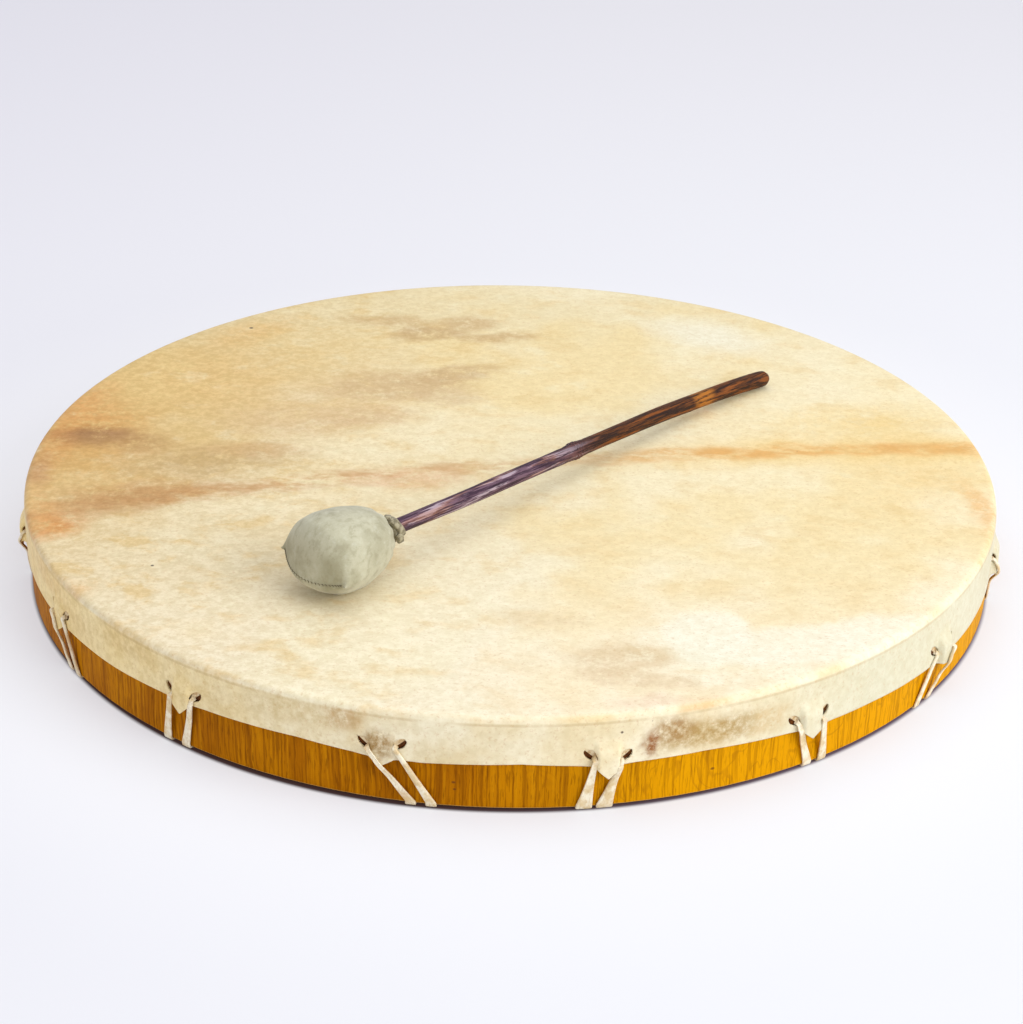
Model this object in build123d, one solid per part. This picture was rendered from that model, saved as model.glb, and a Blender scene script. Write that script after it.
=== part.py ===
from build123d import *
import os
from math import asin, cos, degrees, radians, sin, sqrt

# Hoop-mounted frame drum, head up, with its soft beater lying on the head.
# Millimetres. +Z is up, the origin is on the drum's axis at the surface it rests on,
# and the lacing bundles behind the head lie every 45 degrees from +X.

# ---- driving dimensions: hoop and head ----
HOOP_R = 280.0            # outer radius of the wooden hoop
HOOP_WALL = 8.0           # total thickness of the three glued plies
VENEER_T = 1.0            # face ply and lining ply
HOOP_DEPTH = 51.9         # height of the hoop
BEARING_R = 7.0           # rounding of the edge the head turns over
FOOT_CHAMFER = 0.8        # small chamfer round the hoop's lower outer edge
HIDE_T = 1.2              # rawhide thickness
HIDE_GAP = 0.1            # air between the hide's skirt and the hoop
SKIRT_EDGE_Z = 26.0       # lower edge of the hide's skirt

# ---- driving dimensions: lacing ----
BUNDLES = 8               # pairs of laces gathered together behind the head
LACE_FROM_BUNDLE = 11.25  # degrees from a bundle to each of its two lace loops
LACE_T = 1.2              # thickness of a flat thong
LACE_HOLE_W = 4.6         # thong width where it is folded through a hole
LACE_FOOT_W = 9.5         # thong width where it turns under the hoop
HOLE_OFFSET = 2.05        # degrees from a lace loop's middle to each of its holes
FOOT_NEAR = 8.05          # degrees from the bundle to the nearer thong's foot
FOOT_FAR = 10.45          # degrees from the bundle to the farther thong's foot
RUN_Z = 31.5              # height of the run that passes behind the tab
SLOT_Z = (28.0, 35.0)     # lower and upper edge of the opening in the skirt
SLOT_HALF_W = 13.5
TAB_HALF_W = 5.0          # tongue of hide between two holes, bulged over the thong
TAB_SHOULDER_Z = 26.0
TAB_TIP_Z = 18.5
TAB_TOP_Z = 39.0

# ---- driving dimensions: twisted strands, bindings and hand ring ----
STRAND_W = 3.8            # a thong twisted to a cord, in the bundle
STRAND_T = 2.6
LAYER_Z = 1.4             # half the distance between upper and lower strands
LANE_Y = 2.1              # half the distance between the two laces of a bundle
RING_Z = 8.4              # height of the hand ring's centre
RING_R = 40.0
RING_ROD_R = 5.0
BINDING = (56.0, 104.0)   # the wrapped length, as radii from the drum's axis
BINDING_T = 1.5
BINDING_GAP = 0.1
STRAND_END = 81.0         # where a lace's inner end is tucked into its binding
END_GAP = 3.0

# ---- driving dimensions: beater ----
BEATER_AT = (-84.4, -156.0)   # plan position of the pouch's middle
BEATER_HEADING = 48.75        # degrees, from the pouch towards the grip
POUCH_A = 36.0                # half length of the pouch
POUCH_B = 22.3                # largest radius of the pouch
SUEDE_T = 1.5
NECK_R = 6.4
NECK_END = 44.0
CORE_GAP = 0.2
REST_GAP = 0.3                # air between the beater and the head
STICK_SPAN = 366.0            # from the pouch's middle to the grip's end
STICK_END_R = 5.2
STICK_BORE_R = 4.35
# Distance along the stick, sideways bow of the natural branch, and radius.
STICK = [
    (-20.0, 0.0, 4.2), (48.0, 0.0, 4.2), (90.0, 0.4, 4.5), (140.0, 2.2, 4.6),
    (180.0, 3.6, 4.6), (188.0, 4.1, 5.2), (198.0, 4.2, 4.6), (235.0, 5.0, 4.7),
    (270.0, 5.6, 4.8), (313.0, 4.8, 4.9), (346.0, 2.8, 5.0), (362.0, 0.9, 4.9),
    (366.0, 0.3, 3.4),
]
TIE_X = (36.5, 42.5)
TIE_T = 2.4
KNOT_R = 3.4
STITCHES = 14
STITCH_R = 0.45
STITCH_LENGTH = 2.8
SEAM_HALF_ANGLE = 65.0        # degrees either side of the pouch's far end

# ---- derived heights ----
HOOP_BOTTOM_Z = LACE_T
HOOP_TOP_Z = HOOP_BOTTOM_Z + HOOP_DEPTH
HEAD_TOP_Z = HOOP_TOP_Z + HIDE_T
HIDE_IN_R = HOOP_R + HIDE_GAP
HIDE_OUT_R = HIDE_IN_R + HIDE_T


def polar(radius, angle, z):
    """Point at a radius and an angle in degrees about the drum's axis."""
    return Vector(radius * cos(radians(angle)), radius * sin(radians(angle)), z)


def turned(shape, angle):
    """A shape turned about the drum's axis."""
    return Rot(0, 0, angle) * shape


def ribbon(stations):
    """Flat strip through stations of (centre, half width vector, half thickness vector)."""
    wires = []
    for centre, wide, thick in stations:
        corners = [
            centre + wide + thick,
            centre - wide + thick,
            centre - wide - thick,
            centre + wide - thick,
        ]
        wires.append(Wire.make_polygon(corners, close=True))
    return Solid.make_loft(wires, ruled=True)


# ---- hoop: core, face veneer and lining ----
def hoop_blank():
    """The whole bent hoop, before it is divided into its plies."""
    inner_x = HOOP_R - HOOP_WALL
    bend_x = HOOP_R - BEARING_R
    bend_z = HOOP_TOP_Z - BEARING_R
    lean = BEARING_R * sqrt(0.5)
    with BuildSketch(Plane.XZ) as profile:
        with BuildLine():
            edge = Polyline(
                (bend_x, HOOP_TOP_Z),
                (inner_x, HOOP_TOP_Z),
                (inner_x, HOOP_BOTTOM_Z),
                (HOOP_R - FOOT_CHAMFER, HOOP_BOTTOM_Z),
                (HOOP_R, HOOP_BOTTOM_Z + FOOT_CHAMFER),
                (HOOP_R, bend_z),
            )
            ThreePointArc(edge @ 1, (bend_x + lean, bend_z + lean), edge @ 0)
        make_face()
    return revolve(profile.sketch, Axis.Z)


def ring_between(inner, outer):
    """Tall tube used to cut one ply out of the blank."""
    height = HOOP_DEPTH + 20
    tube = Cylinder(outer, height) - Cylinder(inner, height + 2)
    return Pos(0, 0, HOOP_TOP_Z / 2) * tube


def make_hoop():
    blank = hoop_blank()
    inner_r = HOOP_R - HOOP_WALL
    return {
        "hoop_lining": blank & ring_between(inner_r - 1, inner_r + VENEER_T),
        "hoop_core": blank & ring_between(inner_r + VENEER_T, HOOP_R - VENEER_T),
        "hoop_face_veneer": blank & ring_between(HOOP_R - VENEER_T, HOOP_R + 1),
    }


# ---- drumhead: one stretched hide with a skirt, holes and tabs ----
def hide_blank():
    """Cup of hide over the hoop, from the axis out and down to the skirt's edge."""
    bend_x = HOOP_R - BEARING_R
    bend_r = BEARING_R + HIDE_GAP
    bend_z = HOOP_TOP_Z - bend_r
    lean = sqrt(0.5)
    with BuildSketch(Plane.XZ) as profile:
        with BuildLine():
            inner = Line((0, HOOP_TOP_Z), (bend_x, HOOP_TOP_Z))
            inner_bend = ThreePointArc(
                inner @ 1,
                (bend_x + bend_r * lean, bend_z + bend_r * lean),
                (HIDE_IN_R, bend_z),
            )
            inner_side = Line(inner_bend @ 1, (HIDE_IN_R, SKIRT_EDGE_Z))
            edge = Line(inner_side @ 1, (HIDE_OUT_R, SKIRT_EDGE_Z))
            outer_side = Line(edge @ 1, (HIDE_OUT_R, bend_z))
            outer_r = bend_r + HIDE_T
            outer_bend = ThreePointArc(
                outer_side @ 1,
                (bend_x + outer_r * lean, bend_z + outer_r * lean),
                (bend_x, HEAD_TOP_Z),
            )
            top = Line(outer_bend @ 1, (0, HEAD_TOP_Z))
            Line(top @ 1, inner @ 0)
        make_face()
    return revolve(profile.sketch, Axis.Z)


def skirt_slot():
    """Opening through the skirt for one lace loop, on the +X side."""
    height = SLOT_Z[1] - SLOT_Z[0]
    block = Box(8, 2 * SLOT_HALF_W, height)
    return Pos(HOOP_R, 0, SLOT_Z[0] + height / 2) * block


def hide_tab():
    """Tongue of hide in front of the thong, on the +X side, with the fold that joins it to the skirt."""
    face_x = HIDE_OUT_R + 0.2
    outline = [
        (-TAB_HALF_W, TAB_TOP_Z),
        (-TAB_HALF_W, TAB_SHOULDER_Z),
        (0, TAB_TIP_Z),
        (TAB_HALF_W, TAB_SHOULDER_Z),
        (TAB_HALF_W, TAB_TOP_Z),
    ]
    tongue_plane = Plane(origin=(face_x, 0, 0), x_dir=(0, 1, 0), z_dir=(1, 0, 0))
    tongue = extrude(tongue_plane * make_face(Polyline(*outline, close=True)), HIDE_T)
    fold_x = (HIDE_IN_R + 0.4, face_x + HIDE_T)
    fold_height = TAB_TOP_Z - SLOT_Z[1]
    fold = Box(fold_x[1] - fold_x[0], 2 * TAB_HALF_W, fold_height)
    fold = Pos(sum(fold_x) / 2, 0, SLOT_Z[1] + fold_height / 2) * fold
    return tongue + fold


def lace_angles():
    """Directions of the lace loops, two to a bundle, in order round the drum."""
    angles = []
    for bundle in range(BUNDLES):
        direction = bundle * 360 / BUNDLES
        angles += [direction - LACE_FROM_BUNDLE, direction + LACE_FROM_BUNDLE]
    return angles


def make_head():
    slots = [turned(skirt_slot(), angle) for angle in lace_angles()]
    tabs = [turned(hide_tab(), angle) for angle in lace_angles()]
    return {"drumhead": hide_blank() - slots + tabs}


# ---- lacing: one thong through each pair of holes and back to the hand ring ----
def strand_run(foot_angle, layer):
    """Stations of one twisted strand along +X, from the hoop's inner edge to its binding."""
    foot = polar(HOOP_R - HOOP_WALL - 1, -foot_angle, LACE_T / 2)
    lane = Vector(BINDING[1], -LANE_Y, RING_Z + layer * LAYER_Z)
    up = Vector(0, 0, 1)
    across = Vector(0, 1, 0)

    def at(x, z, wide, thick):
        share = (x - lane.X) / (foot.X - lane.X)
        y = lane.Y + (foot.Y - lane.Y) * share
        return Vector(x, y, z), across * (wide / 2), up * (thick / 2)

    flat_x, round_x = 205.0, 150.0
    flat_z = 0.55 * RING_Z + layer * LAYER_Z * 0.57
    return [
        (foot, polar(LACE_FOOT_W / 2, 90 - foot_angle, 0), up * (LACE_T / 2)),
        at(flat_x, flat_z, 5.5, 1.9),
        at(round_x, RING_Z + layer * LAYER_Z, STRAND_W, STRAND_T),
        at(lane.X, lane.Z, STRAND_W, STRAND_T),
    ]


def leg_run(foot_angle, hole_angle):
    """Stations of one thong up the outside, from under the hoop to just below its hole."""
    half_t = LACE_T / 2

    def at(radius, angle, z, width, thick_out, thick_up):
        wide = polar(width / 2, angle + 90, 0)
        return polar(radius, angle, z), wide, polar(thick_out, angle, thick_up)

    side_r = HOOP_R + 0.15 + half_t
    over_skirt_r = HIDE_OUT_R + 0.2 + half_t
    return [
        at(side_r, -foot_angle, half_t, LACE_FOOT_W, -half_t, half_t),
        at(over_skirt_r, hole_angle, SLOT_Z[0] + 0.4, LACE_HOLE_W, -half_t, 0),
    ]


def tab_run(angle):
    """Stations of the thong turning into both holes and passing behind the tab."""
    half_w = LACE_HOLE_W / 2
    radius = HOOP_R + 0.25 + LACE_T / 2
    stations = []
    for side in (1, 0, -1):
        place = angle + side * HOLE_OFFSET
        centre = polar(radius + 0.1 * abs(side), place, RUN_Z)
        wide = polar(half_w * side, place + 90, half_w)
        stations.append((centre, wide, polar(-LACE_T / 2, place, 0)))
    return stations


def ring_loop():
    """Stations of a strand leaving its binding, going round the hand ring and coming back."""
    reach = RING_ROD_R + 0.25 + STRAND_T / 2
    half_step = 22.5
    corner = 1 / cos(radians(half_step))
    across = Vector(0, -STRAND_W / 2, 0)

    def at(x, z, angle, stretch):
        thick = Vector(cos(radians(angle)), 0, sin(radians(angle))) * (STRAND_T / 2 * stretch)
        return Vector(x, -LANE_Y, RING_Z + z), across, thick

    stations = [at(BINDING[0], LAYER_Z, 90, 1)]
    for step in range(6):
        angle = 67.5 + 45 * step
        x = RING_R + reach * corner * cos(radians(angle))
        z = reach * corner * sin(radians(angle))
        stations.append(at(x, z, angle, corner))
    stations.append(at(BINDING[0], -LAYER_Z, 270, 1))
    stations.append(at(STRAND_END, -LAYER_Z, 270, 1))
    return stations


def opposite_side(stations):
    """The same stations for travel the other way along the ribbon."""
    return [(centre, wide * -1, thick) for centre, wide, thick in reversed(stations)]


def left_lace():
    """The lace on the clockwise side of the bundle that lies along +X."""
    middle = -LACE_FROM_BUNDLE
    lower = strand_run(FOOT_NEAR, -1)
    upper = strand_run(FOOT_FAR, 1)
    start = (
        Vector(STRAND_END + END_GAP, -LANE_Y, RING_Z - LAYER_Z),
        lower[-1][1],
        lower[-1][2],
    )
    stations = [start] + list(reversed(lower))
    stations += leg_run(FOOT_NEAR, middle + HOLE_OFFSET)
    stations += tab_run(middle)
    stations += opposite_side(leg_run(FOOT_FAR, middle - HOLE_OFFSET))
    stations += [(centre, wide * -1, thick) for centre, wide, thick in upper]
    stations += ring_loop()
    return ribbon(stations)


def make_laces():
    left = left_lace()
    right = mirror(left, about=Plane.XZ)
    laces = {}
    for bundle in range(BUNDLES):
        direction = bundle * 360 / BUNDLES
        laces[f"lace_{2 * bundle + 1:02d}"] = turned(left, direction)
        laces[f"lace_{2 * bundle + 2:02d}"] = turned(right, direction)
    return laces


# ---- bindings round each bundle, and the ring they are tied to ----
def make_bindings():
    inner_w = 2 * LANE_Y + STRAND_W + 2 * BINDING_GAP
    inner_h = 2 * LAYER_Z + STRAND_T + 2 * BINDING_GAP
    length = BINDING[1] - BINDING[0]
    sleeve = Box(length, inner_w + 2 * BINDING_T, inner_h + 2 * BINDING_T)
    sleeve = fillet(sleeve.edges().filter_by(Axis.X), 2.4)
    sleeve -= Box(length + 2, inner_w, inner_h)
    sleeve = Pos(sum(BINDING) / 2, 0, RING_Z) * sleeve
    return {f"binding_{i + 1}": turned(sleeve, i * 360 / BUNDLES) for i in range(BUNDLES)}


def make_hand_ring():
    return {"hand_ring": Pos(0, 0, RING_Z) * Torus(RING_R, RING_ROD_R)}


# ---- beater ----
def beater_frame():
    """Frame at the pouch's middle: x along the stick towards the grip, z up."""
    middle_z = HEAD_TOP_Z + REST_GAP + POUCH_B
    grip_z = HEAD_TOP_Z + REST_GAP + STICK_END_R
    slope = asin((middle_z - grip_z) / STICK_SPAN)
    along = polar(cos(slope), BEATER_HEADING, -sin(slope))
    up = polar(sin(slope), BEATER_HEADING, cos(slope))
    return Plane(origin=(*BEATER_AT, middle_z), x_dir=along, z_dir=up)


def half_egg(half_length, radius, bore_r):
    """Outline of a spheroid, from where the bore meets it to its far pole."""
    start = degrees(asin(bore_r / radius))
    return EllipticalCenterArc((0, 0), half_length, radius, start_angle=start, arc_size=180 - start)


def rod_along_x(radius, start, end):
    """Plain round bar along x."""
    bar = Rot(0, 90, 0) * Cylinder(radius, end - start)
    return Pos((start + end) / 2, 0, 0) * bar


def make_stick():
    """Natural branch: round sections joined in straight tapers, with a swollen node."""
    rings = []
    for index, (x, bow, radius) in enumerate(STICK):
        before = STICK[max(index - 1, 0)]
        after = STICK[min(index + 1, len(STICK) - 1)]
        heading = Vector(after[0] - before[0], after[1] - before[1], 0)
        section = Plane(origin=(x, bow, 0), x_dir=(0, 0, 1), z_dir=heading)
        rings.append(Wire.make_circle(radius, section))
    return Solid.make_loft(rings, ruled=True)


def make_pouch():
    """Suede bag: a shell round the stuffing, open along the neck for the stick."""
    with BuildSketch(Plane.XY) as profile:
        with BuildLine():
            outer = half_egg(POUCH_A, POUCH_B, NECK_R)
            inner = half_egg(POUCH_A - SUEDE_T, POUCH_B - SUEDE_T, STICK_BORE_R)
            Polyline(outer @ 0, (NECK_END, NECK_R), (NECK_END, STICK_BORE_R), inner @ 0)
            Line(inner @ 1, outer @ 1)
        make_face()
    return revolve(profile.sketch, Axis.X)


def make_core():
    """Wool stuffing, bored for the length of stick inside it."""
    inset = SUEDE_T + CORE_GAP
    with BuildSketch(Plane.XY) as profile:
        with BuildLine():
            outer = half_egg(POUCH_A - inset, POUCH_B - inset, STICK_BORE_R)
            socket_x = STICK[0][0] - CORE_GAP
            Polyline(outer @ 0, (socket_x, STICK_BORE_R), (socket_x, 0), outer @ 1)
        make_face()
    return revolve(profile.sketch, Axis.X)


def make_tie():
    """Thong wound round the pouch's neck, with its knot on the side."""
    inner_r = NECK_R + 0.1
    band = rod_along_x(inner_r + TIE_T, *TIE_X) - rod_along_x(inner_r, TIE_X[0] - 1, TIE_X[1] + 1)
    middle_x = sum(TIE_X) / 2
    knot = Pos(middle_x, -inner_r - KNOT_R - 0.6, 0) * Sphere(KNOT_R)
    return band + knot


def make_seam_stitches():
    """Short stitches round the pouch's closed end, just proud of the suede."""
    lift = STITCH_R + 0.15
    stitches = []
    for index in range(STITCHES):
        angle = radians(180 + SEAM_HALF_ANGLE * (2 * index / (STITCHES - 1) - 1))
        point = Vector(POUCH_A * cos(angle), POUCH_B * sin(angle), 0)
        normal = Vector(cos(angle) / POUCH_A, sin(angle) / POUCH_B, 0).normalized()
        place = Plane(
            origin=point + normal * lift,
            x_dir=normal,
            z_dir=Vector(-normal.Y, normal.X, 0),
        )
        stitches.append(place * Cylinder(STITCH_R, STITCH_LENGTH))
    return Compound(children=[stitch.solid() for stitch in stitches])


def make_beater():
    frame = beater_frame()
    pieces = {
        "beater_stick": make_stick(),
        "beater_core": make_core(),
        "beater_pouch": make_pouch(),
        "beater_tie": make_tie(),
        "beater_stitches": make_seam_stitches(),
    }
    return {name: frame.location * shape for name, shape in pieces.items()}


def main():
    os.makedirs("parts", exist_ok=True)
    nodes = {}
    nodes.update(make_hoop())
    nodes.update(make_head())
    nodes.update(make_laces())
    nodes.update(make_bindings())
    nodes.update(make_hand_ring())
    nodes.update(make_beater())
    for name, shape in nodes.items():
        export_step(shape, f"parts/{name}.step")
        print(f"{name}: {shape.volume:.0f} mm3")


main()
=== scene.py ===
import math
import random
from math import cos, pi, radians, sin

import bpy
import numpy as np
from mathutils import Matrix, Vector, noise


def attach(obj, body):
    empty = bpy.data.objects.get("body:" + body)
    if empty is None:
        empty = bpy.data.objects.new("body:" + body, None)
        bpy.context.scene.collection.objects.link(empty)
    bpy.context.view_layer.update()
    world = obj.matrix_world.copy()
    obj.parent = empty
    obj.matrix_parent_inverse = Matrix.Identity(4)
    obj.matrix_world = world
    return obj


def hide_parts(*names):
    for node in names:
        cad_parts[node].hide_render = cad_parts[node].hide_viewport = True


# Frame drum with a skin head laced to a hand ring, and its soft beater.
# Metres, in the CAD frame: +Z up, the origin on the drum's axis at the surface it rests on.

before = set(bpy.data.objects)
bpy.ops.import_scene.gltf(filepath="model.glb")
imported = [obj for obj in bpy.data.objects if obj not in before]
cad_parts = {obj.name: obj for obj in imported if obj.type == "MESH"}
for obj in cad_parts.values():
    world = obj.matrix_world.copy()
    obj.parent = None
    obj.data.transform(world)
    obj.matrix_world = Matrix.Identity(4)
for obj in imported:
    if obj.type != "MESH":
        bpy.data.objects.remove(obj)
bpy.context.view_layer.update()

# ---- sizes shared with the CAD ----
HOOP_R = 0.280
HOOP_WALL = 0.008
BEARING_R = 0.007
HIDE_T = 0.0012
HIDE_OUT_R = 0.2813
HEAD_TOP = 0.0543
BUNDLES = 8
BUNDLE_STEP = 45.0
LACE_FROM_BUNDLE = 11.25
RING_Z = 0.0084
RING_R = 0.040
RING_ROD_R = 0.005
LANE_Y = 0.0021
LAYER_Z = 0.0014
BINDING = (0.056, 0.104)
STRAND_END = 0.081
REST_GAP = 0.0003

# ---- camera ----
CAMERA_AT = Vector((0.0313, -1.2358, 0.6586))
CAMERA_AIM = Vector((-0.0002, 0.0383, 0.0012))
CAMERA_ROLL = radians(0.97)
CAMERA_LENS = 82.36

# Colours below are written as they look in this light, which is a little over full white.
LIGHT_LEVEL = 1.10


def paint(red, green, blue):
    """Surface colour from the 8-bit colour that it should look in this scene's light."""
    def linear(value):
        share = value / 255
        return share / 12.92 if share <= 0.04045 else ((share + 0.055) / 1.055) ** 2.4
    return tuple(linear(value) / LIGHT_LEVEL for value in (red, green, blue)) + (1.0,)


def polar(radius, degrees_round, z):
    turn = radians(degrees_round)
    return Vector((radius * cos(turn), radius * sin(turn), z))


def smooth_step(value, low, high):
    share = min(max((value - low) / (high - low), 0.0), 1.0)
    return share * share * (3 - 2 * share)


# ---------------------------------------------------------------- node trees
class Tree:
    """Short names for building one material out of nodes; its colour is laid on in layers."""

    def __init__(self, name, ground=(0, 0, 0)):
        self.material = bpy.data.materials.new(name)
        self.material.use_nodes = True
        self.tree = self.material.node_tree
        self.tree.nodes.clear()
        end = self.node("ShaderNodeOutputMaterial")
        self.shader = self.node("ShaderNodeBsdfPrincipled")
        self.tree.links.new(self.shader.outputs[0], end.inputs[0])
        self.place = self.node("ShaderNodeTexCoord").outputs["Object"]
        self.colour = paint(*ground)

    def node(self, kind, inputs=(), **settings):
        """A node with its settings, and its inputs fed in order."""
        made = self.tree.nodes.new(kind)
        for key, value in settings.items():
            setattr(made, key, value)
        for socket, value in zip(made.inputs, inputs):
            self.feed(socket, value)
        return made

    def feed(self, socket, value):
        if isinstance(value, bpy.types.NodeSocket):
            self.tree.links.new(value, socket)
        else:
            socket.default_value = value

    def math(self, operation, *values):
        return self.node("ShaderNodeMath", values, operation=operation).outputs[0]

    def sloped(self, value, slope, start):
        return self.math("MULTIPLY_ADD", value, slope, start)

    def apart(self, first, second):
        return self.math("ABSOLUTE", self.math("SUBTRACT", first, second))

    def product(self, *values):
        result = values[0]
        for value in values[1:]:
            result = self.math("MULTIPLY", result, value)
        return result

    def vector(self, operation, first, second):
        return self.node("ShaderNodeVectorMath", (first, second), operation=operation).outputs[0]

    def length(self, place):
        return self.node("ShaderNodeVectorMath", (place,), operation="LENGTH").outputs["Value"]

    def scaled(self, place, scale):
        return self.vector("MULTIPLY", place, scale)

    def split(self, place):
        return tuple(self.node("ShaderNodeSeparateXYZ", (place,)).outputs)

    def joined(self, x, y, z):
        return self.node("ShaderNodeCombineXYZ", (x, y, z)).outputs[0]

    def noise_node(self, place, scale, detail=3.0, rough=0.5, twist=0.0):
        made = self.node("ShaderNodeTexNoise")
        self.feed(made.inputs["Vector"], place)
        for key, value in (("Scale", scale), ("Detail", detail), ("Roughness", rough), ("Distortion", twist)):
            made.inputs[key].default_value = value
        return made

    def noise(self, place, scale, *detail):
        return self.noise_node(place, scale, *detail).outputs["Fac"]

    def grain(self, place, stretch, *detail):
        """Noise with its own scale along each axis."""
        return self.noise(self.scaled(place, stretch), 1.0, *detail)

    def warped(self, place, scale, amount):
        """The place pushed about by soft noise, so that edges drawn with it wander."""
        push = self.noise_node(place, scale).outputs["Color"]
        centred = self.vector("SUBTRACT", push, (0.5, 0.5, 0.5))
        return self.vector("ADD", place, self.scaled(centred, (amount, amount, amount)))

    def cells(self, place, scale):
        made = self.node("ShaderNodeTexVoronoi")
        self.feed(made.inputs["Vector"], place)
        made.inputs["Scale"].default_value = scale
        return made.outputs["Distance"]

    def between(self, value, low, high):
        """0 below low and 1 above high, or the other way round when low is the higher."""
        rising = low < high
        ends = (value, min(low, high), max(low, high), 0.0 if rising else 1.0, 1.0 if rising else 0.0)
        return self.node("ShaderNodeMapRange", ends, interpolation_type="SMOOTHSTEP").outputs["Result"]

    def mix(self, share, first, second, blend="MIX"):
        made = self.node("ShaderNodeMix", data_type="RGBA", blend_type=blend)
        for index, value in ((0, share), (6, first), (7, second)):
            self.feed(made.inputs[index], value)
        return made.outputs[2]

    def tint(self, look, *shares):
        """Lays one more colour over the material, by the product of the shares."""
        self.colour = self.mix(self.product(*shares), self.colour, paint(*look))

    def blot(self, place, at, size, lean=0.0, edge=0.5):
        """Mask of a soft-edged oval, 1 in its middle, in the XY plane."""
        turned = self.node("ShaderNodeVectorRotate", rotation_type="Z_AXIS")
        self.feed(turned.inputs["Vector"], self.vector("SUBTRACT", place, (at[0], at[1], 0.0)))
        turned.inputs["Angle"].default_value = -radians(lean)
        flat = self.scaled(turned.outputs[0], (1 / size[0], 1 / size[1], 0.0))
        return self.between(self.length(flat), 1.0 + edge, 1.0 - edge)

    def bump(self, height, strength, distance):
        made = self.node("ShaderNodeBump")
        made.inputs["Strength"].default_value = strength
        made.inputs["Distance"].default_value = distance
        self.feed(made.inputs["Height"], height)
        self.feed(self.shader.inputs["Normal"], made.outputs[0])

    def finish(self, roughness, specular=0.3, sheen=0.0, coat=0.0):
        self.feed(self.shader.inputs["Base Color"], self.colour)
        self.feed(self.shader.inputs["Roughness"], roughness)
        for key, value in (("Specular IOR Level", specular), ("Sheen Weight", sheen), ("Coat Weight", coat),
                           ("Coat Roughness", 0.35)):
            self.shader.inputs[key].default_value = value
        return self.material


# ---------------------------------------------------------------- materials
# Stains on the head: place, half sizes, lean in degrees, colour it tends to, strength, edge softness.
STAINS = [
    ((-0.256, 0.030), (0.030, 0.044), 10, (218, 158, 84), 0.80, 0.8),
    ((-0.251, 0.019), (0.021, 0.013), 5, (134, 78, 50), 0.90, 0.6),
    ((-0.228, 0.014), (0.026, 0.015), -10, (172, 132, 92), 0.70, 0.7),
    ((-0.270, -0.010), (0.011, 0.034), -6, (216, 148, 82), 0.70, 0.7),
    ((-0.262, 0.066), (0.012, 0.034), -18, (226, 168, 100), 0.60, 0.7),
    ((-0.272, -0.030), (0.007, 0.018), 8, (172, 116, 92), 0.65, 0.7),
    ((-0.240, -0.020), (0.050, 0.038), 10, (220, 178, 108), 0.65, 0.9),
    ((-0.172, -0.010), (0.046, 0.020), 14, (196, 166, 116), 0.65, 0.7),
    ((-0.206, -0.054), (0.044, 0.014), 14, (198, 148, 90), 0.75, 0.7),
    ((-0.226, -0.072), (0.030, 0.012), 20, (196, 150, 98), 0.55, 0.8),
    ((-0.251, -0.097), (0.016, 0.013), 30, (222, 146, 70), 0.75, 0.8),
    ((-0.262, -0.078), (0.010, 0.020), 10, (222, 160, 90), 0.55, 0.8),
    ((-0.228, -0.166), (0.012, 0.009), 0, (236, 190, 128), 0.50, 0.7),
    ((-0.088, 0.208), (0.032, 0.010), -5, (206, 174, 122), 0.70, 0.5),
    ((-0.060, 0.188), (0.026, 0.013), 10, (198, 164, 114), 0.75, 0.4),
    ((-0.036, 0.209), (0.020, 0.010), 0, (204, 170, 118), 0.70, 0.5),
    ((-0.016, 0.184), (0.024, 0.009), 8, (202, 168, 116), 0.70, 0.5),
    ((-0.078, 0.104), (0.046, 0.022), 12, (202, 170, 122), 0.70, 0.4),
    ((-0.044, 0.122), (0.034, 0.014), 24, (204, 172, 124), 0.70, 0.4),
    ((-0.042, 0.090), (0.026, 0.012), 0, (214, 186, 144), 0.50, 0.5),
    ((-0.128, 0.048), (0.050, 0.022), 8, (216, 184, 140), 0.50, 0.6),
    ((-0.088, 0.058), (0.030, 0.013), 8, (212, 178, 136), 0.45, 0.5),
    ((-0.060, -0.026), (0.032, 0.012), 4, (226, 178, 134), 0.55, 0.6),
    ((-0.154, 0.006), (0.026, 0.010), 0, (212, 172, 122), 0.45, 0.6),
    ((-0.115, 0.085), (0.060, 0.035), 20, (228, 200, 156), 0.40, 0.8),
    ((-0.150, 0.140), (0.060, 0.035), 30, (232, 202, 140), 0.45, 0.9),
    ((-0.200, 0.104), (0.045, 0.040), 50, (230, 192, 130), 0.50, 0.9),
    ((-0.176, 0.184), (0.030, 0.014), 44, (232, 188, 118), 0.50, 0.8),
    ((0.020, -0.184), (0.026, 0.008), -5, (226, 204, 160), 0.60, 0.5),
    ((0.062, -0.222), (0.026, 0.015), 20, (212, 182, 128), 0.75, 0.4),
    ((0.056, -0.240), (0.020, 0.008), 0, (216, 186, 134), 0.70, 0.4),
    ((0.084, -0.242), (0.016, 0.007), 0, (214, 184, 132), 0.70, 0.4),
    ((0.076, -0.262), (0.018, 0.006), 8, (228, 186, 150), 0.55, 0.6),
    ((0.110, -0.262), (0.020, 0.007), 20, (228, 176, 110), 0.55, 0.6),
    ((0.268, -0.044), (0.008, 0.030), 10, (234, 176, 100), 0.60, 0.7),
    ((0.206, 0.070), (0.060, 0.020), 12, (240, 208, 132), 0.45, 0.8),
    ((0.240, -0.010), (0.035, 0.050), 10, (240, 206, 140), 0.35, 0.9),
]
# Place, half sizes, lean, edge softness.
PALE_PATCHES = [
    ((0.150, -0.205), (0.058, 0.019), 10, 0.25),
    ((0.106, -0.194), (0.020, 0.026), -35, 0.2),
    ((0.196, -0.186), (0.040, 0.013), 22, 0.5),
    ((0.125, 0.196), (0.040, 0.020), -30, 0.7),
]
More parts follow.
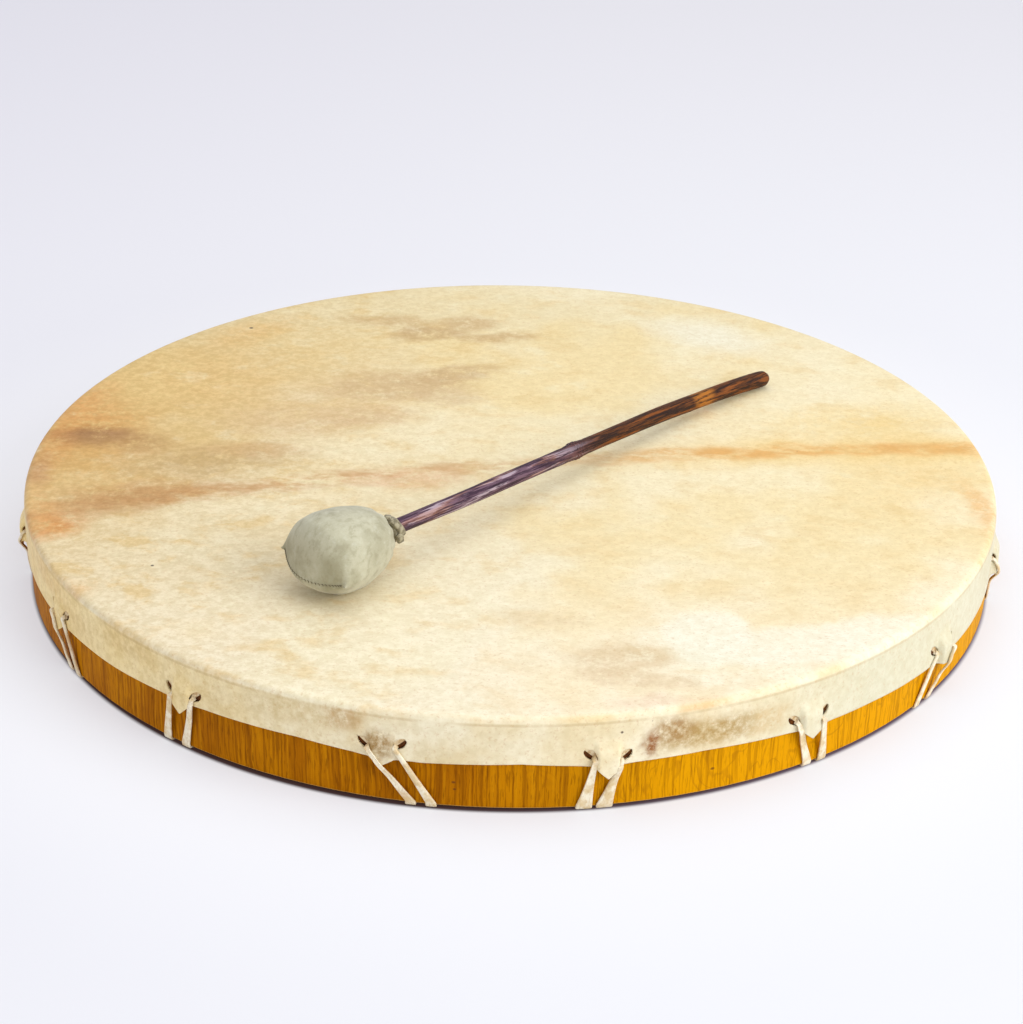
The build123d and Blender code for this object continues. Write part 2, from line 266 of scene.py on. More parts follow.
# Place, height, radius, colour, strength.
SKIRT_STAINS = [
    ((0.106, -0.260), 0.037, 0.026, (178, 144, 76), 0.90),
    ((0.088, -0.267), 0.042, 0.010, (166, 122, 60), 0.80),
    ((-0.0545, -0.276), 0.0345, 0.0070, (156, 116, 44), 0.95),
    ((0.076, -0.2708), 0.036, 0.0042, (150, 88, 26), 1.0),
    ((0.138, -0.245), 0.036, 0.010, (210, 172, 108), 0.45),
    ((-0.222, -0.170), 0.035, 0.020, (222, 192, 128), 0.40),
    ((-0.150, -0.238), 0.036, 0.016, (220, 194, 134), 0.40),
    ((-0.030, -0.280), 0.028, 0.012, (216, 196, 146), 0.50),
    ((-0.100, -0.262), 0.044, 0.020, (210, 182, 118), 0.48),
    ((-0.075, -0.270), 0.047, 0.010, (190, 146, 78), 0.65),
    ((-0.190, -0.205), 0.046, 0.020, (216, 182, 114), 0.42),
    ((-0.245, -0.135), 0.045, 0.022, (228, 182, 104), 0.50),
]
CREASE_Z = 0.0500
DARK_DOTS = [((-0.178, 0.190, 0.0543), 0.0013), ((0.063, -0.2742, 0.0440), 0.0007),
             ((-0.188, -0.139, 0.0543), 0.0009)]
# Pin knots in the veneer: place along the hoop from its front, height, size.
VENEER_KNOTS = [(-0.0185, 0.0155, 0.0011), (-0.0180, 0.0115, 0.0009), (0.112, 0.0140, 0.0012)]


def hide_material():
    t = Tree("drum_hide", (247, 234, 196))
    x, y, z = t.split(t.place)
    wander = t.warped(t.place, 28.0, 0.020)
    frayed = t.warped(wander, 110.0, 0.010)
    fibre = t.noise(t.scaled(t.place, (1.0, 1.15, 1.0)), 230.0, 5.0, 0.65)
    mottle = t.noise(t.scaled(wander, (1.0, 1.5, 1.0)), 34.0, 5.0, 0.6)
    clouds = t.noise(t.place, 7.5, 3.0, 0.55)
    pits = t.noise(t.place, 640.0, 3.0, 0.6)

    # broad change of tone: cream in front and at the middle right, tan at the left and behind
    to_left = t.between(x, 0.06, -0.26)
    t.tint((226, 194, 128), to_left)
    t.tint((246, 239, 216), t.between(y, 0.06, -0.24), 0.70)
    t.tint((237, 222, 180), t.between(y, 0.08, 0.26), 0.7)
    t.tint((240, 214, 150), t.between(clouds, 0.50, 0.64), 0.50)
    t.tint((249, 240, 210), t.between(clouds, 0.48, 0.36), 0.45)
    t.tint((230, 200, 138), t.between(mottle, 0.50, 0.66), t.sloped(to_left, 0.35, 0.35))
    t.tint((250, 243, 212), t.between(mottle, 0.45, 0.32), 0.35)

    # the stretched back stripe, orange brown across the head
    wx, wy, _ = t.split(t.warped(t.place, 45.0, 0.016))
    off = t.apart(wy, t.sloped(t.sloped(x, -0.278, 0.220), wx, -0.004))
    broken = t.between(t.noise(t.scaled(t.place, (1.0, 2.2, 1.0)), 46.0, 5.0, 0.65), 0.36, 0.62)
    t.tint((226, 178, 112), t.between(off, 0.012, 0.001), broken, 0.42)
    t.tint((196, 146, 94), t.between(off, 0.016, 0.001), broken, t.between(x, 0.06, -0.08), 0.62)
    t.tint((242, 206, 128), t.between(off, 0.030, 0.004), t.between(x, 0.00, 0.16), 0.50)
    t.tint((226, 166, 84), t.between(off, 0.013, 0.002), t.between(x, 0.02, 0.12), 0.75,
           t.between(broken, -0.6, 1.0))

    flecked = t.between(t.noise(t.place, 105.0, 6.0, 0.78), 0.26, 0.58)
    for at, size, lean, colour, strength, edge in STAINS:
        t.tint(colour, t.blot(frayed, at, size, lean, edge), flecked, strength)
    for at, size, lean, edge in PALE_PATCHES:
        t.tint((246, 243, 224), t.blot(frayed, at, size, lean, edge), 0.72)

    # the skirt is greyer, with its own marks; a warm line follows the shoulder
    on_skirt = t.between(z, 0.0518, 0.0500)
    skirt = t.mix(t.between(mottle, 0.35, 0.65), paint(246, 236, 206), paint(236, 220, 180))
    # painted light: the skirt is made lighter on the left, where the lamps leave it dim, and yellower there
    skirt = t.mix(t.product(t.between(x, -0.04, -0.24), 0.85), skirt, paint(252, 226, 156))
    # painted shade: the skirt is made darker on the right, where the key lamp is strong, and greyer there
    skirt = t.mix(t.product(t.between(x, 0.08, 0.20), 0.80), skirt, paint(212, 210, 184))
    t.colour = t.mix(t.product(on_skirt, 0.85), t.colour, skirt)
    t.tint((238, 204, 142), t.between(z, 0.0500, 0.0520), t.between(z, 0.05425, 0.0534), 0.16,
           t.between(mottle, 0.42, 0.60))
    # painted shade: a thin darker line along the crease where the shoulder bends into the skirt
    crease = t.between(t.apart(z, CREASE_Z), 0.0011, 0.0003)
    t.tint((206, 180, 132), crease, t.between(mottle, 0.30, 0.60), 0.45)
    # painted highlight: a pale band on the front of the shoulder
    t.tint((252, 242, 224), t.between(z, 0.0530, 0.0542), t.between(y, -0.10, -0.26), 0.35,
           t.between(clouds, 0.40, 0.60))
    soiled = t.between(t.noise(t.place, 230.0, 5.0, 0.75), 0.22, 0.64)
    for at, height, size, colour, strength in SKIRT_STAINS:
        near = t.blot(frayed, at, (size, size), 0.0, 0.6)
        t.tint(colour, near, t.between(t.apart(z, height), 0.011, 0.003), soiled, on_skirt, strength)

    # hair pores and fibres
    dull = t.product(t.between(fibre, 0.34, 0.64), t.sloped(to_left, 0.8, 0.8))
    shade = [t.sloped(dull, -drop, 1.055) for drop in (0.10, 0.125, 0.19)]
    t.colour = t.mix(1.0, t.colour, t.joined(*shade), "MULTIPLY")
    hair_place = t.scaled(t.warped(t.place, 300.0, 0.002), (1.0, 1.4, 1.0))
    t.tint((206, 160, 98), t.between(t.noise(hair_place, 520.0, 4.0, 0.7), 0.55, 0.66), 0.30)
    rare = t.between(t.noise(t.place, 21.0, 2.0), 0.60, 0.68)
    t.tint((150, 104, 62), t.between(t.cells(t.place, 95.0), 0.060, 0.028), rare, 0.55)
    for at, size in DARK_DOTS:
        reach = t.node("ShaderNodeVectorMath", (t.place, at), operation="DISTANCE").outputs["Value"]
        t.tint((70, 48, 40), t.between(reach, size * 1.3, size * 0.6), 0.85)

    height = t.math("ADD", t.sloped(pits, 0.35, t.product(fibre, 0.8)), t.product(clouds, 2.0))
    t.bump(height, 0.30, 0.0006)
    return t.finish(t.sloped(mottle, 0.22, 0.36), specular=0.32)


def flap_and_shade_material(name, light, dark):
    """Mottled hide in the holes for the pale cut flap; the same material, dark, makes the sheet below it,
    which is painted shade inside the hole.
    """
    t = Tree(name, light)
    mottling = t.noise(t.place, 420.0, 4.0, 0.65)
    t.tint(dark, t.between(mottling, 0.40, 0.62))
    t.bump(mottling, 0.3, 0.0004)
    return t.finish(0.6, specular=0.1)


def rawhide_material():
    t = Tree("lace_rawhide", (250, 240, 214))
    fibre = t.noise(t.scaled(t.place, (1.0, 1.0, 0.35)), 900.0, 3.0, 0.6)
    t.tint((228, 204, 158), t.between(t.noise(t.place, 130.0, 4.0, 0.6), 0.42, 0.62))
    t.tint((206, 172, 120), t.between(fibre, 0.50, 0.68), 0.45)
    t.tint((214, 168, 110), t.between(t.noise(t.place, 38.0, 2.0), 0.56, 0.68), 0.45)
    t.bump(fibre, 0.35, 0.0004)
    return t.finish(0.55, specular=0.25)


def round_hoop(t, radius, depth):
    """Place along a ring, height and depth, unrolled from the front with its join at the back."""
    x, y, z = t.split(t.place)
    angle = t.math("ARCTAN2", x, t.math("MULTIPLY", y, -1.0))
    return t.joined(t.math("MULTIPLY", angle, radius), z, depth)


def distance_out(t):
    """Distance from the drum's axis."""
    x, y, _ = t.split(t.place)
    return t.length(t.joined(x, y, 0.0))


def veneer_material():
    t = Tree("hoop_veneer", (196, 124, 0))
    flat = round_hoop(t, HOOP_R, t.math("MULTIPLY", t.noise(t.place, 1.5), 0.05))
    along, z, _ = t.split(flat)
    sway = t.warped(flat, 14.0, 0.010)
    fine = t.grain(sway, (1150.0, 75.0, 1.0), 3.0, 0.6)
    streak = t.grain(sway, (520.0, 10.0, 1.0), 2.0, 0.50)
    figure = t.grain(t.warped(flat, 22.0, 0.030), (60.0, 24.0, 1.0), 2.0, 0.4, 1.4)
    t.tint((172, 102, 0), t.between(t.grain(flat, (48.0, 10.0, 1.0), 2.0, 0.5), 0.35, 0.65))
    # lighter, more golden wood at the right front: painted light from the key lamp on that side, with the
    # wood's own change of tone; the dark grain is weaker there
    golden_lit = t.product(t.between(along, -0.02, 0.11), t.between(along, 0.66, 0.40))
    t.tint((236, 166, 0), golden_lit, 0.85)
    dark_share = t.sloped(golden_lit, -0.22, 0.56)
    t.tint((128, 70, 0), t.between(streak, 0.50, 0.60), dark_share)
    t.tint((222, 152, 10), t.between(streak, 0.45, 0.36), 0.30)
    t.tint((112, 58, 0), t.between(fine, 0.53, 0.63), dark_share)
    t.tint((140, 80, 8), t.between(t.apart(figure, 0.5), 0.030, 0.004), t.sloped(golden_lit, 0.18, 0.10))
    for at, height, size in VENEER_KNOTS:
        reach = t.length(t.scaled(t.vector("SUBTRACT", flat, (at, height, 0.0)), (1.0, 1.5, 0.0)))
        t.tint((96, 52, 24), t.between(reach, size * 1.3, size * 0.5), 0.75)
    t.tint((226, 176, 92), t.between(z, 0.0023, 0.0017))
    pores = t.grain(flat, (1500.0, 70.0, 1.0), 2.0, 0.5)
    t.bump(t.sloped(pores, 0.6, fine), 0.12, 0.0003)
    return t.finish(t.sloped(fine, 0.16, 0.48), specular=0.03)


def ply_material():
    t = Tree("hoop_ply", (222, 186, 130))
    flat = round_hoop(t, HOOP_R, t.math("MULTIPLY", t.noise(t.place, 1.5), 0.05))
    fine = t.grain(t.warped(flat, 12.0, 0.008), (20.0, 420.0, 1.0), 4.0, 0.6)
    t.tint((206, 164, 104), t.between(t.grain(flat, (9.0, 60.0, 1.0), 2.0, 0.5), 0.35, 0.65))
    t.tint((176, 128, 72), t.between(fine, 0.52, 0.66), 0.55)
    glue = t.apart(distance_out(t), HOOP_R - HOOP_WALL / 2)
    at_bottom = t.between(t.split(t.place)[2], 0.0016, 0.0012)
    t.tint((120, 80, 44), t.between(glue, 0.0003, 0.0001), at_bottom, 0.8)
    t.bump(fine, 0.15, 0.0003)
    return t.finish(0.55, specular=0.25)


def ring_wood_material():
    t = Tree("ring_wood", (206, 158, 96))
    flat = round_hoop(t, RING_R, distance_out(t))
    fine = t.grain(t.warped(flat, 30.0, 0.003), (40.0, 700.0, 700.0), 4.0, 0.6)
    t.tint((158, 104, 54), t.between(fine, 0.38, 0.64))
    t.bump(fine, 0.2, 0.0003)
    return t.finish(0.42, specular=0.35, coat=0.15)


def stick_material():
    """Peeled branch: dark stain, purple on the near half with silvery streaks of painted highlight, orange
    where it is bare.
    """
    t = Tree("stick_wood")
    x = t.split(t.place)[0]
    fibre = t.grain(t.place, (46.0, 900.0, 900.0), 5.0, 0.7)
    scrapes_and_glints = t.grain(t.place, (26.0, 420.0, 420.0), 4.0, 0.65)
    patch = t.grain(t.place, (20.0, 130.0, 130.0), 3.0, 0.55)
    near = t.between(x, 0.215, 0.150)
    dark = t.mix(near, paint(46, 24, 14), paint(62, 40, 58))
    light = t.mix(near, paint(104, 58, 22), paint(118, 90, 106))
    t.colour = t.mix(t.between(fibre, 0.46, 0.60), dark, light)
    # painted highlight: silvery streaks on the near half
    t.tint((196, 176, 188), t.between(scrapes_and_glints, 0.53, 0.60), near, 0.80)
    t.tint((186, 128, 92), t.between(patch, 0.55, 0.64), t.between(scrapes_and_glints, 0.46, 0.54), near, 0.38)
    t.tint((172, 96, 34), t.between(scrapes_and_glints, 0.53, 0.60), t.between(x, 0.185, 0.230), 0.50)
    orange = t.blot(t.warped(t.place, 120.0, 0.006), (0.306, 0.003), (0.009, 0.005), 0.0, 0.4)
    t.tint((204, 128, 44), orange, 0.70, t.between(fibre, 0.40, 0.52))
    t.tint((34, 18, 20), t.between(fibre, 0.42, 0.34), 0.75)
    t.tint((96, 58, 44), t.between(x, 0.3635, 0.3655))
    t.bump(t.sloped(scrapes_and_glints, 0.9, fibre), 0.55, 0.0010)
    return t.finish(t.sloped(fibre, 0.25, 0.40), specular=0.20)


def suede_material():
    t = Tree("pouch_suede", (196, 193, 168))
    x, _, z = t.split(t.place)
    nap = t.noise(t.place, 1500.0, 3.0, 0.7)
    scuff = t.noise(t.scaled(t.place, (1.0, 1.6, 1.0)), 190.0, 4.0, 0.65)
    t.tint((178, 174, 148), t.between(t.noise(t.place, 46.0, 4.0, 0.6), 0.40, 0.62))
    t.tint((150, 144, 116), t.between(scuff, 0.50, 0.66), 0.40)
    t.tint((206, 206, 186), t.between(scuff, 0.46, 0.34), 0.40)
    t.tint((150, 138, 104), t.between(x, -0.016, -0.031), t.between(z, -0.012, 0.006), 0.35)
    # painted shade in the folds by the seam's two corners, on their lower parts
    for at, size in (((-0.022, -0.016), 0.0075), ((-0.020, 0.020), 0.0085)):
        spot = t.blot(t.warped(t.place, 160.0, 0.004), at, (size, size * 0.8), 30.0, 0.7)
        t.tint((124, 116, 76), spot, t.between(z, 0.013, 0.003), 0.45)
    t.tint((142, 138, 112), t.between(nap, 0.5, 0.7), 0.20)
    t.bump(t.sloped(nap, 0.5, scuff), 0.35, 0.0005)
    return t.finish(0.88, specular=0.12, sheen=0.25)


def tie_material():
    t = Tree("tie_thong", (128, 120, 98))
    scuff = t.noise(t.place, 420.0, 4.0, 0.65)
    t.tint((174, 166, 140), t.between(scuff, 0.42, 0.60))
    t.tint((92, 82, 64), t.between(t.noise(t.place, 150.0), 0.55, 0.68), 0.6)
    t.bump(scuff, 0.45, 0.0004)
    return t.finish(0.8, specular=0.15, sheen=0.15)


def wool_material():
    t = Tree("wool_stuffing", (206, 198, 180))
    tuft = t.noise(t.place, 300.0, 5.0, 0.7, 1.0)
    t.tint((238, 232, 216), t.between(tuft, 0.35, 0.65))
    t.bump(tuft, 0.8, 0.001)
    return t.finish(0.95, specular=0.05, sheen=0.3)


def thread_material():
    t = Tree("sewing_thread", (78, 70, 52))
    strand = t.noise(t.place, 1800.0, 2.0)
    t.tint((112, 102, 80), t.between(strand, 0.4, 0.6))
    t.bump(strand, 0.4, 0.0002)
    return t.finish(0.8, specular=0.15)


FLOOR_Y = 2.0
FLOOR_Z = -0.00005
# Radii between which the floor goes from its painted shadow under the drum to its own tone.
SHADOW_UNDER_DRUM = (0.2802, 0.2834)


def floor_material():
    """Pale paper that glows a little, with painted shade and light in its glow: darker towards the back and
    the left, lighter round the drum, and a painted shadow under the drum; y counts from the plane's own
    place.
    """
    t = Tree("floor")
    x, y, _ = t.split(t.place)
    reach = t.length(t.vector("ADD", t.place, (0.0, FLOOR_Y, 0.0)))
    # painted shadow round the drum's foot, made thinner on the right and at the far left
    radius = t.sloped(t.between(x, -0.10, 0.15), 0.0012, reach)
    radius = t.sloped(t.between(x, -0.12, -0.25), 0.0014, radius)
    # painted shade: the glow is darker towards the back and towards the left
    tone = t.mix(t.between(y, -2.1, -0.7), (0.42, 0.43, 0.465, 1.0), (0.380, 0.375, 0.415, 1.0))
    tone = t.mix(t.product(t.between(x, 0.2, -0.7), 0.6), tone, (0.345, 0.335, 0.400, 1.0))
    # painted light: the glow is lighter round the drum, against the drum's own shadow
    tone = t.mix(t.product(t.between(radius, 0.46, 0.30), 0.6), tone, (0.49, 0.495, 0.52, 1.0))
    # painted shadow: dark glow under the drum and just outside its edge
    tone = t.mix(t.between(radius, *SHADOW_UNDER_DRUM), (0.030, 0.016, 0.014, 1.0), tone)
    t.feed(t.shader.inputs["Emission Color"], tone)
    t.shader.inputs["Emission Strength"].default_value = 1.0
    # painted contact shadow in the floor's colour along the drum's edge, dark brown on the left and purple
    # grey on the right
    contact_shadow = t.between(radius, 0.2834, 0.2804)
    shade = t.mix(t.between(x, -0.05, 0.20), (0.035, 0.020, 0.022, 1.0), (0.16, 0.13, 0.19, 1.0))
    t.colour = t.mix(contact_shadow, (0.42, 0.42, 0.435, 1.0), shade)
    return t.finish(0.9, specular=0.0)


# ---------------------------------------------------------------- mesh helpers
def make_piece(name, points, faces, material, body):
    mesh = bpy.data.meshes.new(name)
    mesh.from_pydata([tuple(point) for point in points], [], faces)
    mesh.update()
    mesh.materials.append(material)
    smooth_all(mesh)
    piece = bpy.data.objects.new(name, mesh)
    bpy.context.scene.collection.objects.link(piece)
    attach(piece, body)
    return piece


def smooth_all(mesh):
    mesh.polygons.foreach_set("use_smooth", [True] * len(mesh.polygons))


def apply_modifiers(piece):
    """Keeps what the piece's modifiers make of its mesh, and drops the modifiers."""
    bpy.context.view_layer.update()
    graph = bpy.context.evaluated_depsgraph_get()
    made = bpy.data.meshes.new_from_object(piece.evaluated_get(graph))
    piece.modifiers.clear()
    piece.data = made


def thicken(piece, thickness):
    """Gives a sheet its thickness, inwards."""
    solid = piece.modifiers.new("thickness", "SOLIDIFY")
    solid.thickness = thickness
    solid.offset = -1.0
    apply_modifiers(piece)


def through(values, per_span):
    """Smooth curve through rows of numbers, the same count of steps in every span."""
    rows = np.array(values, float)
    padded = np.vstack([2 * rows[0] - rows[1], rows, 2 * rows[-1] - rows[-2]])
    made = []
    for index in range(1, len(rows)):
        p0, p1, p2, p3 = padded[index - 1:index + 3]
        for step in range(per_span):
            s = step / per_span
            made.append(0.5 * (2 * p1 + (p2 - p0) * s + (2 * p0 - 5 * p1 + 4 * p2 - p3) * s * s
                               + (3 * p1 - p0 - 3 * p2 + p3) * s ** 3))
    made.append(rows[-1])
    return np.array(made)


def squared(value, power):
    """A sine or cosine bent so that the round it draws turns into a rounded box."""
    return math.copysign(abs(value) ** power, value)


def strap_outline(fold, count=16):
    """Cross-section of a flat thong, rounded at its edges, with a crease along its middle."""
    outline = []
    for index in range(count):
        turn = 2 * pi * (index + 0.5) / count
        u, v = squared(cos(turn), 0.35), squared(sin(turn), 0.55)
        outline.append((u, v + fold * (0.5 - abs(u))))
    return outline


def grid_faces(rows, columns, first=0, closed=True, looped=False, flipped=False):
    """Faces over rows of points: each row is a closed round, and looped joins the last row to the first."""
    faces = []
    for row in range(rows if looped else rows - 1):
        low, high = first + row * columns, first + (row + 1) % rows * columns
        for col in range(columns if closed else columns - 1):
            after = (col + 1) % columns
            if flipped:
                faces.append((low + col, high + col, high + after, low + after))
            else:
                faces.append((low + col, low + after, high + after, high + col))
    return faces


def strap_faces(stations, around, first=0):
    """Side and end faces of a strap whose cross-sections follow each other."""
    start_cap = tuple(first + col for col in reversed(range(around)))
    end_cap = tuple(first + (stations - 1) * around + col for col in range(around))
    return grid_faces(stations, around, first) + [start_cap, end_cap]


def strap_points(stations, around=16):
    """Points of a strap through (centre, half width vector, half thickness vector, fold)."""
    points = []
    for centre, wide, thick, fold in stations:
        for u, v in strap_outline(fold, around):
            points.append(centre + wide * u + thick * v)
    return points


# ---------------------------------------------------------------- lacing layout
def lace_numbers():
    """Number, bundle direction and side of each lace; side -1 is clockwise of its bundle."""
    listed = []
    for bundle in range(BUNDLES):
        listed.append((2 * bundle + 1, bundle * BUNDLE_STEP, -1))
        listed.append((2 * bundle + 2, bundle * BUNDLE_STEP, 1))
    return listed


# Laces that were pulled out of the regular spacing, by number, in degrees round the drum:
# lower hole, upper hole, foot of each, middle of the tab, then the heights of both holes and the tab's tip.
UNEVEN = {
    11: (211.40, 214.70, 214.45, 216.45, 212.80, 0.0340, 0.0338, 0.0212),
    12: (234.25, 237.75, 233.25, 235.85, 235.85, 0.0340, 0.0342, 0.0222),
    13: (257.15, 260.85, 261.85, 263.95, 258.95, 0.0344, 0.0357, 0.0227),
    14: (279.80, 283.40, 279.35, 281.45, 281.60, 0.0325, 0.0310, 0.0196),
    15: (302.10, 305.95, 304.35, 306.35, 304.30, 0.0312, 0.0312, 0.0187),
    16: (324.50, 328.00, 322.05, 324.55, 326.60, 0.0296, 0.0300, 0.0195),
}
# Tabs that stand out less or more than the others, by lace number.
TAB_BULGES = {11: 0.0018, 12: 0.0026, 13: 0.0010, 15: 0.0028, 16: 0.0034}
# Half width of the thongs at their feet where it differs from the others, by lace number.
FOOT_WIDTHS = {11: 0.0022, 12: 0.0027, 13: 0.0027, 14: 0.0041, 15: 0.0027, 16: 0.0024}
FOOT_WIDTH = 0.0034
# Height of the skirt's lower edge round the drum, by angle in degrees.
SKIRT_EDGE = [
    (0, 0.0240), (12, 0.0255), (30, 0.0245), (50, 0.0262), (72, 0.0250), (95, 0.0243), (120, 0.0260),
    (140, 0.0252), (162, 0.0266), (180, 0.0255), (200, 0.0252), (216, 0.0259), (225, 0.0266),
    (234, 0.0280), (250, 0.0294), (257, 0.0270), (263, 0.0262), (273, 0.0281), (281, 0.0256),
    (292, 0.0266), (300, 0.0248), (306, 0.0232), (313, 0.0228), (323, 0.0210), (335, 0.0202),
    (348, 0.0225), (360, 0.0240),
]
HOLE_OFFSET = 2.05
HOLE_Z = 0.0340
TAB_DROP = 0.0062
SLIT_HALF_L = 0.0040
SLIT_HALF_W = 0.0025
SLIT_LEAN = 42.0
SLIT_REACH = 0.008
TAB_BULGE = 0.0031
FOOT_NEAR = 8.05
FOOT_FAR = 10.45


def skirt_edge(angle):
    angles = [pair[0] for pair in SKIRT_EDGE]
    heights = [pair[1] for pair in SKIRT_EDGE]
    return float(np.interp(angle % 360, angles, heights))


def lace_layout(number, direction, side):
    """Where one lace passes the head: hole and foot angles, the tab's middle and the heights."""
    if number in UNEVEN:
        low, high, low_foot, high_foot, tab, low_z, high_z, tip = UNEVEN[number]
    else:
        middle = direction + side * LACE_FROM_BUNDLE
        low, high = middle - HOLE_OFFSET, middle + HOLE_OFFSET
        low_foot = direction + side * (FOOT_FAR if side < 0 else FOOT_NEAR)
        high_foot = direction + side * (FOOT_NEAR if side < 0 else FOOT_FAR)
        tab, low_z, high_z = middle, HOLE_Z, HOLE_Z
        tip = skirt_edge(middle) - TAB_DROP
    return {
        "holes": (low, high), "feet": (low_foot, high_foot), "tab": tab,
        "heights": (low_z, high_z), "tip": tip, "bulge": TAB_BULGES.get(number, TAB_BULGE),
        "foot_width": FOOT_WIDTHS.get(number, FOOT_WIDTH),
    }


LAYOUTS = {number: lace_layout(number, way, side) for number, way, side in lace_numbers()}
ARC_PER_DEGREE = radians(1.0) * HIDE_OUT_R
STRAIGHT_UP = Vector((0, 0, 1))


def across(angle, other):
    """Distance round the skirt from one angle to another, signed, in metres."""
    return ((angle - other + 180) % 360 - 180) * ARC_PER_DEGREE


# ---------------------------------------------------------------- drumhead
COLUMN_FINE = 0.11
COLUMN_WIDE = 0.75
DENSE_MARGIN = 2.3
SKIRT_ROWS = 44
BEND_ROWS = 12
SHOULDER_POWER = 0.46
BEND_TOP_R = HOOP_R - BEARING_R
BEND_HIDE_R = HIDE_OUT_R - BEND_TOP_R
TAB_HALF = 0.0062
# Rings of the flat head: radius, and how many points of the ring before go to one of its own.
HEAD_RINGS = ((0.266, 6), (0.240, 2), (0.190, 1), (0.130, 1), (0.070, 2), (0.025, 1))


def head_columns():
    """Angles of the head's columns, close together round the holes."""
    dense = sorted((min(layout["holes"]) - DENSE_MARGIN, max(layout["holes"]) + DENSE_MARGIN)
                   for layout in LAYOUTS.values())
    angles = []
    angle = dense[0][0]
    start = angle
    while angle < start + 360 - COLUMN_FINE:
        angles.append(angle)
        inside = any(low <= angle + turn < high for low, high in dense for turn in (-360, 0, 360))
        if inside:
            angle += COLUMN_FINE
        else:
            ahead = min((low - angle) % 360 for low, high in dense)
            angle += min(COLUMN_WIDE, max(ahead, COLUMN_FINE))
    return angles


def nearest_lace(angle):
    return min(LAYOUTS.values(), key=lambda layout: abs(across(angle, layout["tab"])))


def tab_shape(layout, offset):
    """1 over the middle of the tongue between two holes, 0 outside it."""
    half = 0.5 * across(layout["holes"][1], layout["holes"][0])
    return 1.0 - smooth_step(abs(offset), half * 0.50, half * 0.86)


def edge_height(angle):
    layout = nearest_lace(angle)
    offset = across(angle, layout["tab"])
    point = max(1.0 - abs(offset) / TAB_HALF, 0.0)
    return skirt_edge(angle) - (skirt_edge(layout["tab"]) - layout["tip"]) * point


def skirt_radius(angle, z):
    layout = nearest_lace(angle)
    offset = across(angle, layout["tab"])
    hole_z = 0.5 * sum(layout["heights"])
    reach = smooth_step(z, hole_z + 0.0100, hole_z - 0.0010)
    bulge = layout["bulge"] * tab_shape(layout, offset) * reach
    swell = 0.00054 * (1 - smooth_step(abs(offset), 0.006, 0.016)) * smooth_step(z, hole_z + 0.012, hole_z)
    ripple = 0.00022 * noise.noise(polar(9.0, angle, z * 40))
    return HIDE_OUT_R + bulge + swell + ripple


def slits():
    """Angle, height and lean of each hole; both holes of a pair lean in towards the tab's tip."""
    listed = []
    for layout in LAYOUTS.values():
        for hole, height, way in zip(layout["holes"], layout["heights"], (-1, 1)):
            listed.append((hole, height, radians(SLIT_LEAN) * way))
    return listed


def slit_measure(angle, z, slit):
    """Below 1 inside the slit, with the place in the slit's own axes."""
    hole, height, lean = slit
    dx, dz = across(angle, hole), z - height
    along = dx * cos(lean) + dz * sin(lean)
    over = -dx * sin(lean) + dz * cos(lean)
    return math.hypot(along / SLIT_HALF_L, over / SLIT_HALF_W), along, over


def slit_place(slit, along, over):
    """Angle and height of a place in the slit's own axes."""
    hole, height, lean = slit
    dx = along * cos(lean) - over * sin(lean)
    dz = along * sin(lean) + over * cos(lean)
    return hole + dx / ARC_PER_DEGREE, height + dz


def head_column(angle):
    """Radius and height down one column, from the flat of the head to the skirt's lower edge."""
    column = []
    for row in range(BEND_ROWS):
        turn = pi / 2 * (1 - row / BEND_ROWS)
        out = max(cos(turn), 0.0) ** SHOULDER_POWER
        up = sin(turn) ** SHOULDER_POWER
        column.append((BEND_TOP_R + BEND_HIDE_R * out, HEAD_TOP - BEND_HIDE_R * (1 - up)))
    top = HEAD_TOP - BEND_HIDE_R
    low = edge_height(angle)
    for row in range(SKIRT_ROWS + 1):
        z = top + (low - top) * row / SKIRT_ROWS
        column.append((skirt_radius(angle, z), z))
    return column


def open_holes(points, angles, columns):
    """Moves points beside a hole onto its rim, and returns the indices of those inside a hole."""
    inside = set()
    for row in range(BEND_ROWS, BEND_ROWS + SKIRT_ROWS + 1):
        for col, angle in enumerate(angles):
            z = columns[col][row][1]
            for slit in SLITS:
                if abs(across(angle, slit[0])) > SLIT_REACH or abs(z - slit[1]) > SLIT_REACH:
                    continue
                share, along, over = slit_measure(angle, z, slit)
                index = row * len(angles) + col
                if share < 0.90:
                    inside.add(index)
                elif share < 1.12:
                    spot, level = slit_place(slit, along / share, over / share)
                    points[index] = polar(skirt_radius(spot, level), spot, level)
    return inside


SLITS = slits()


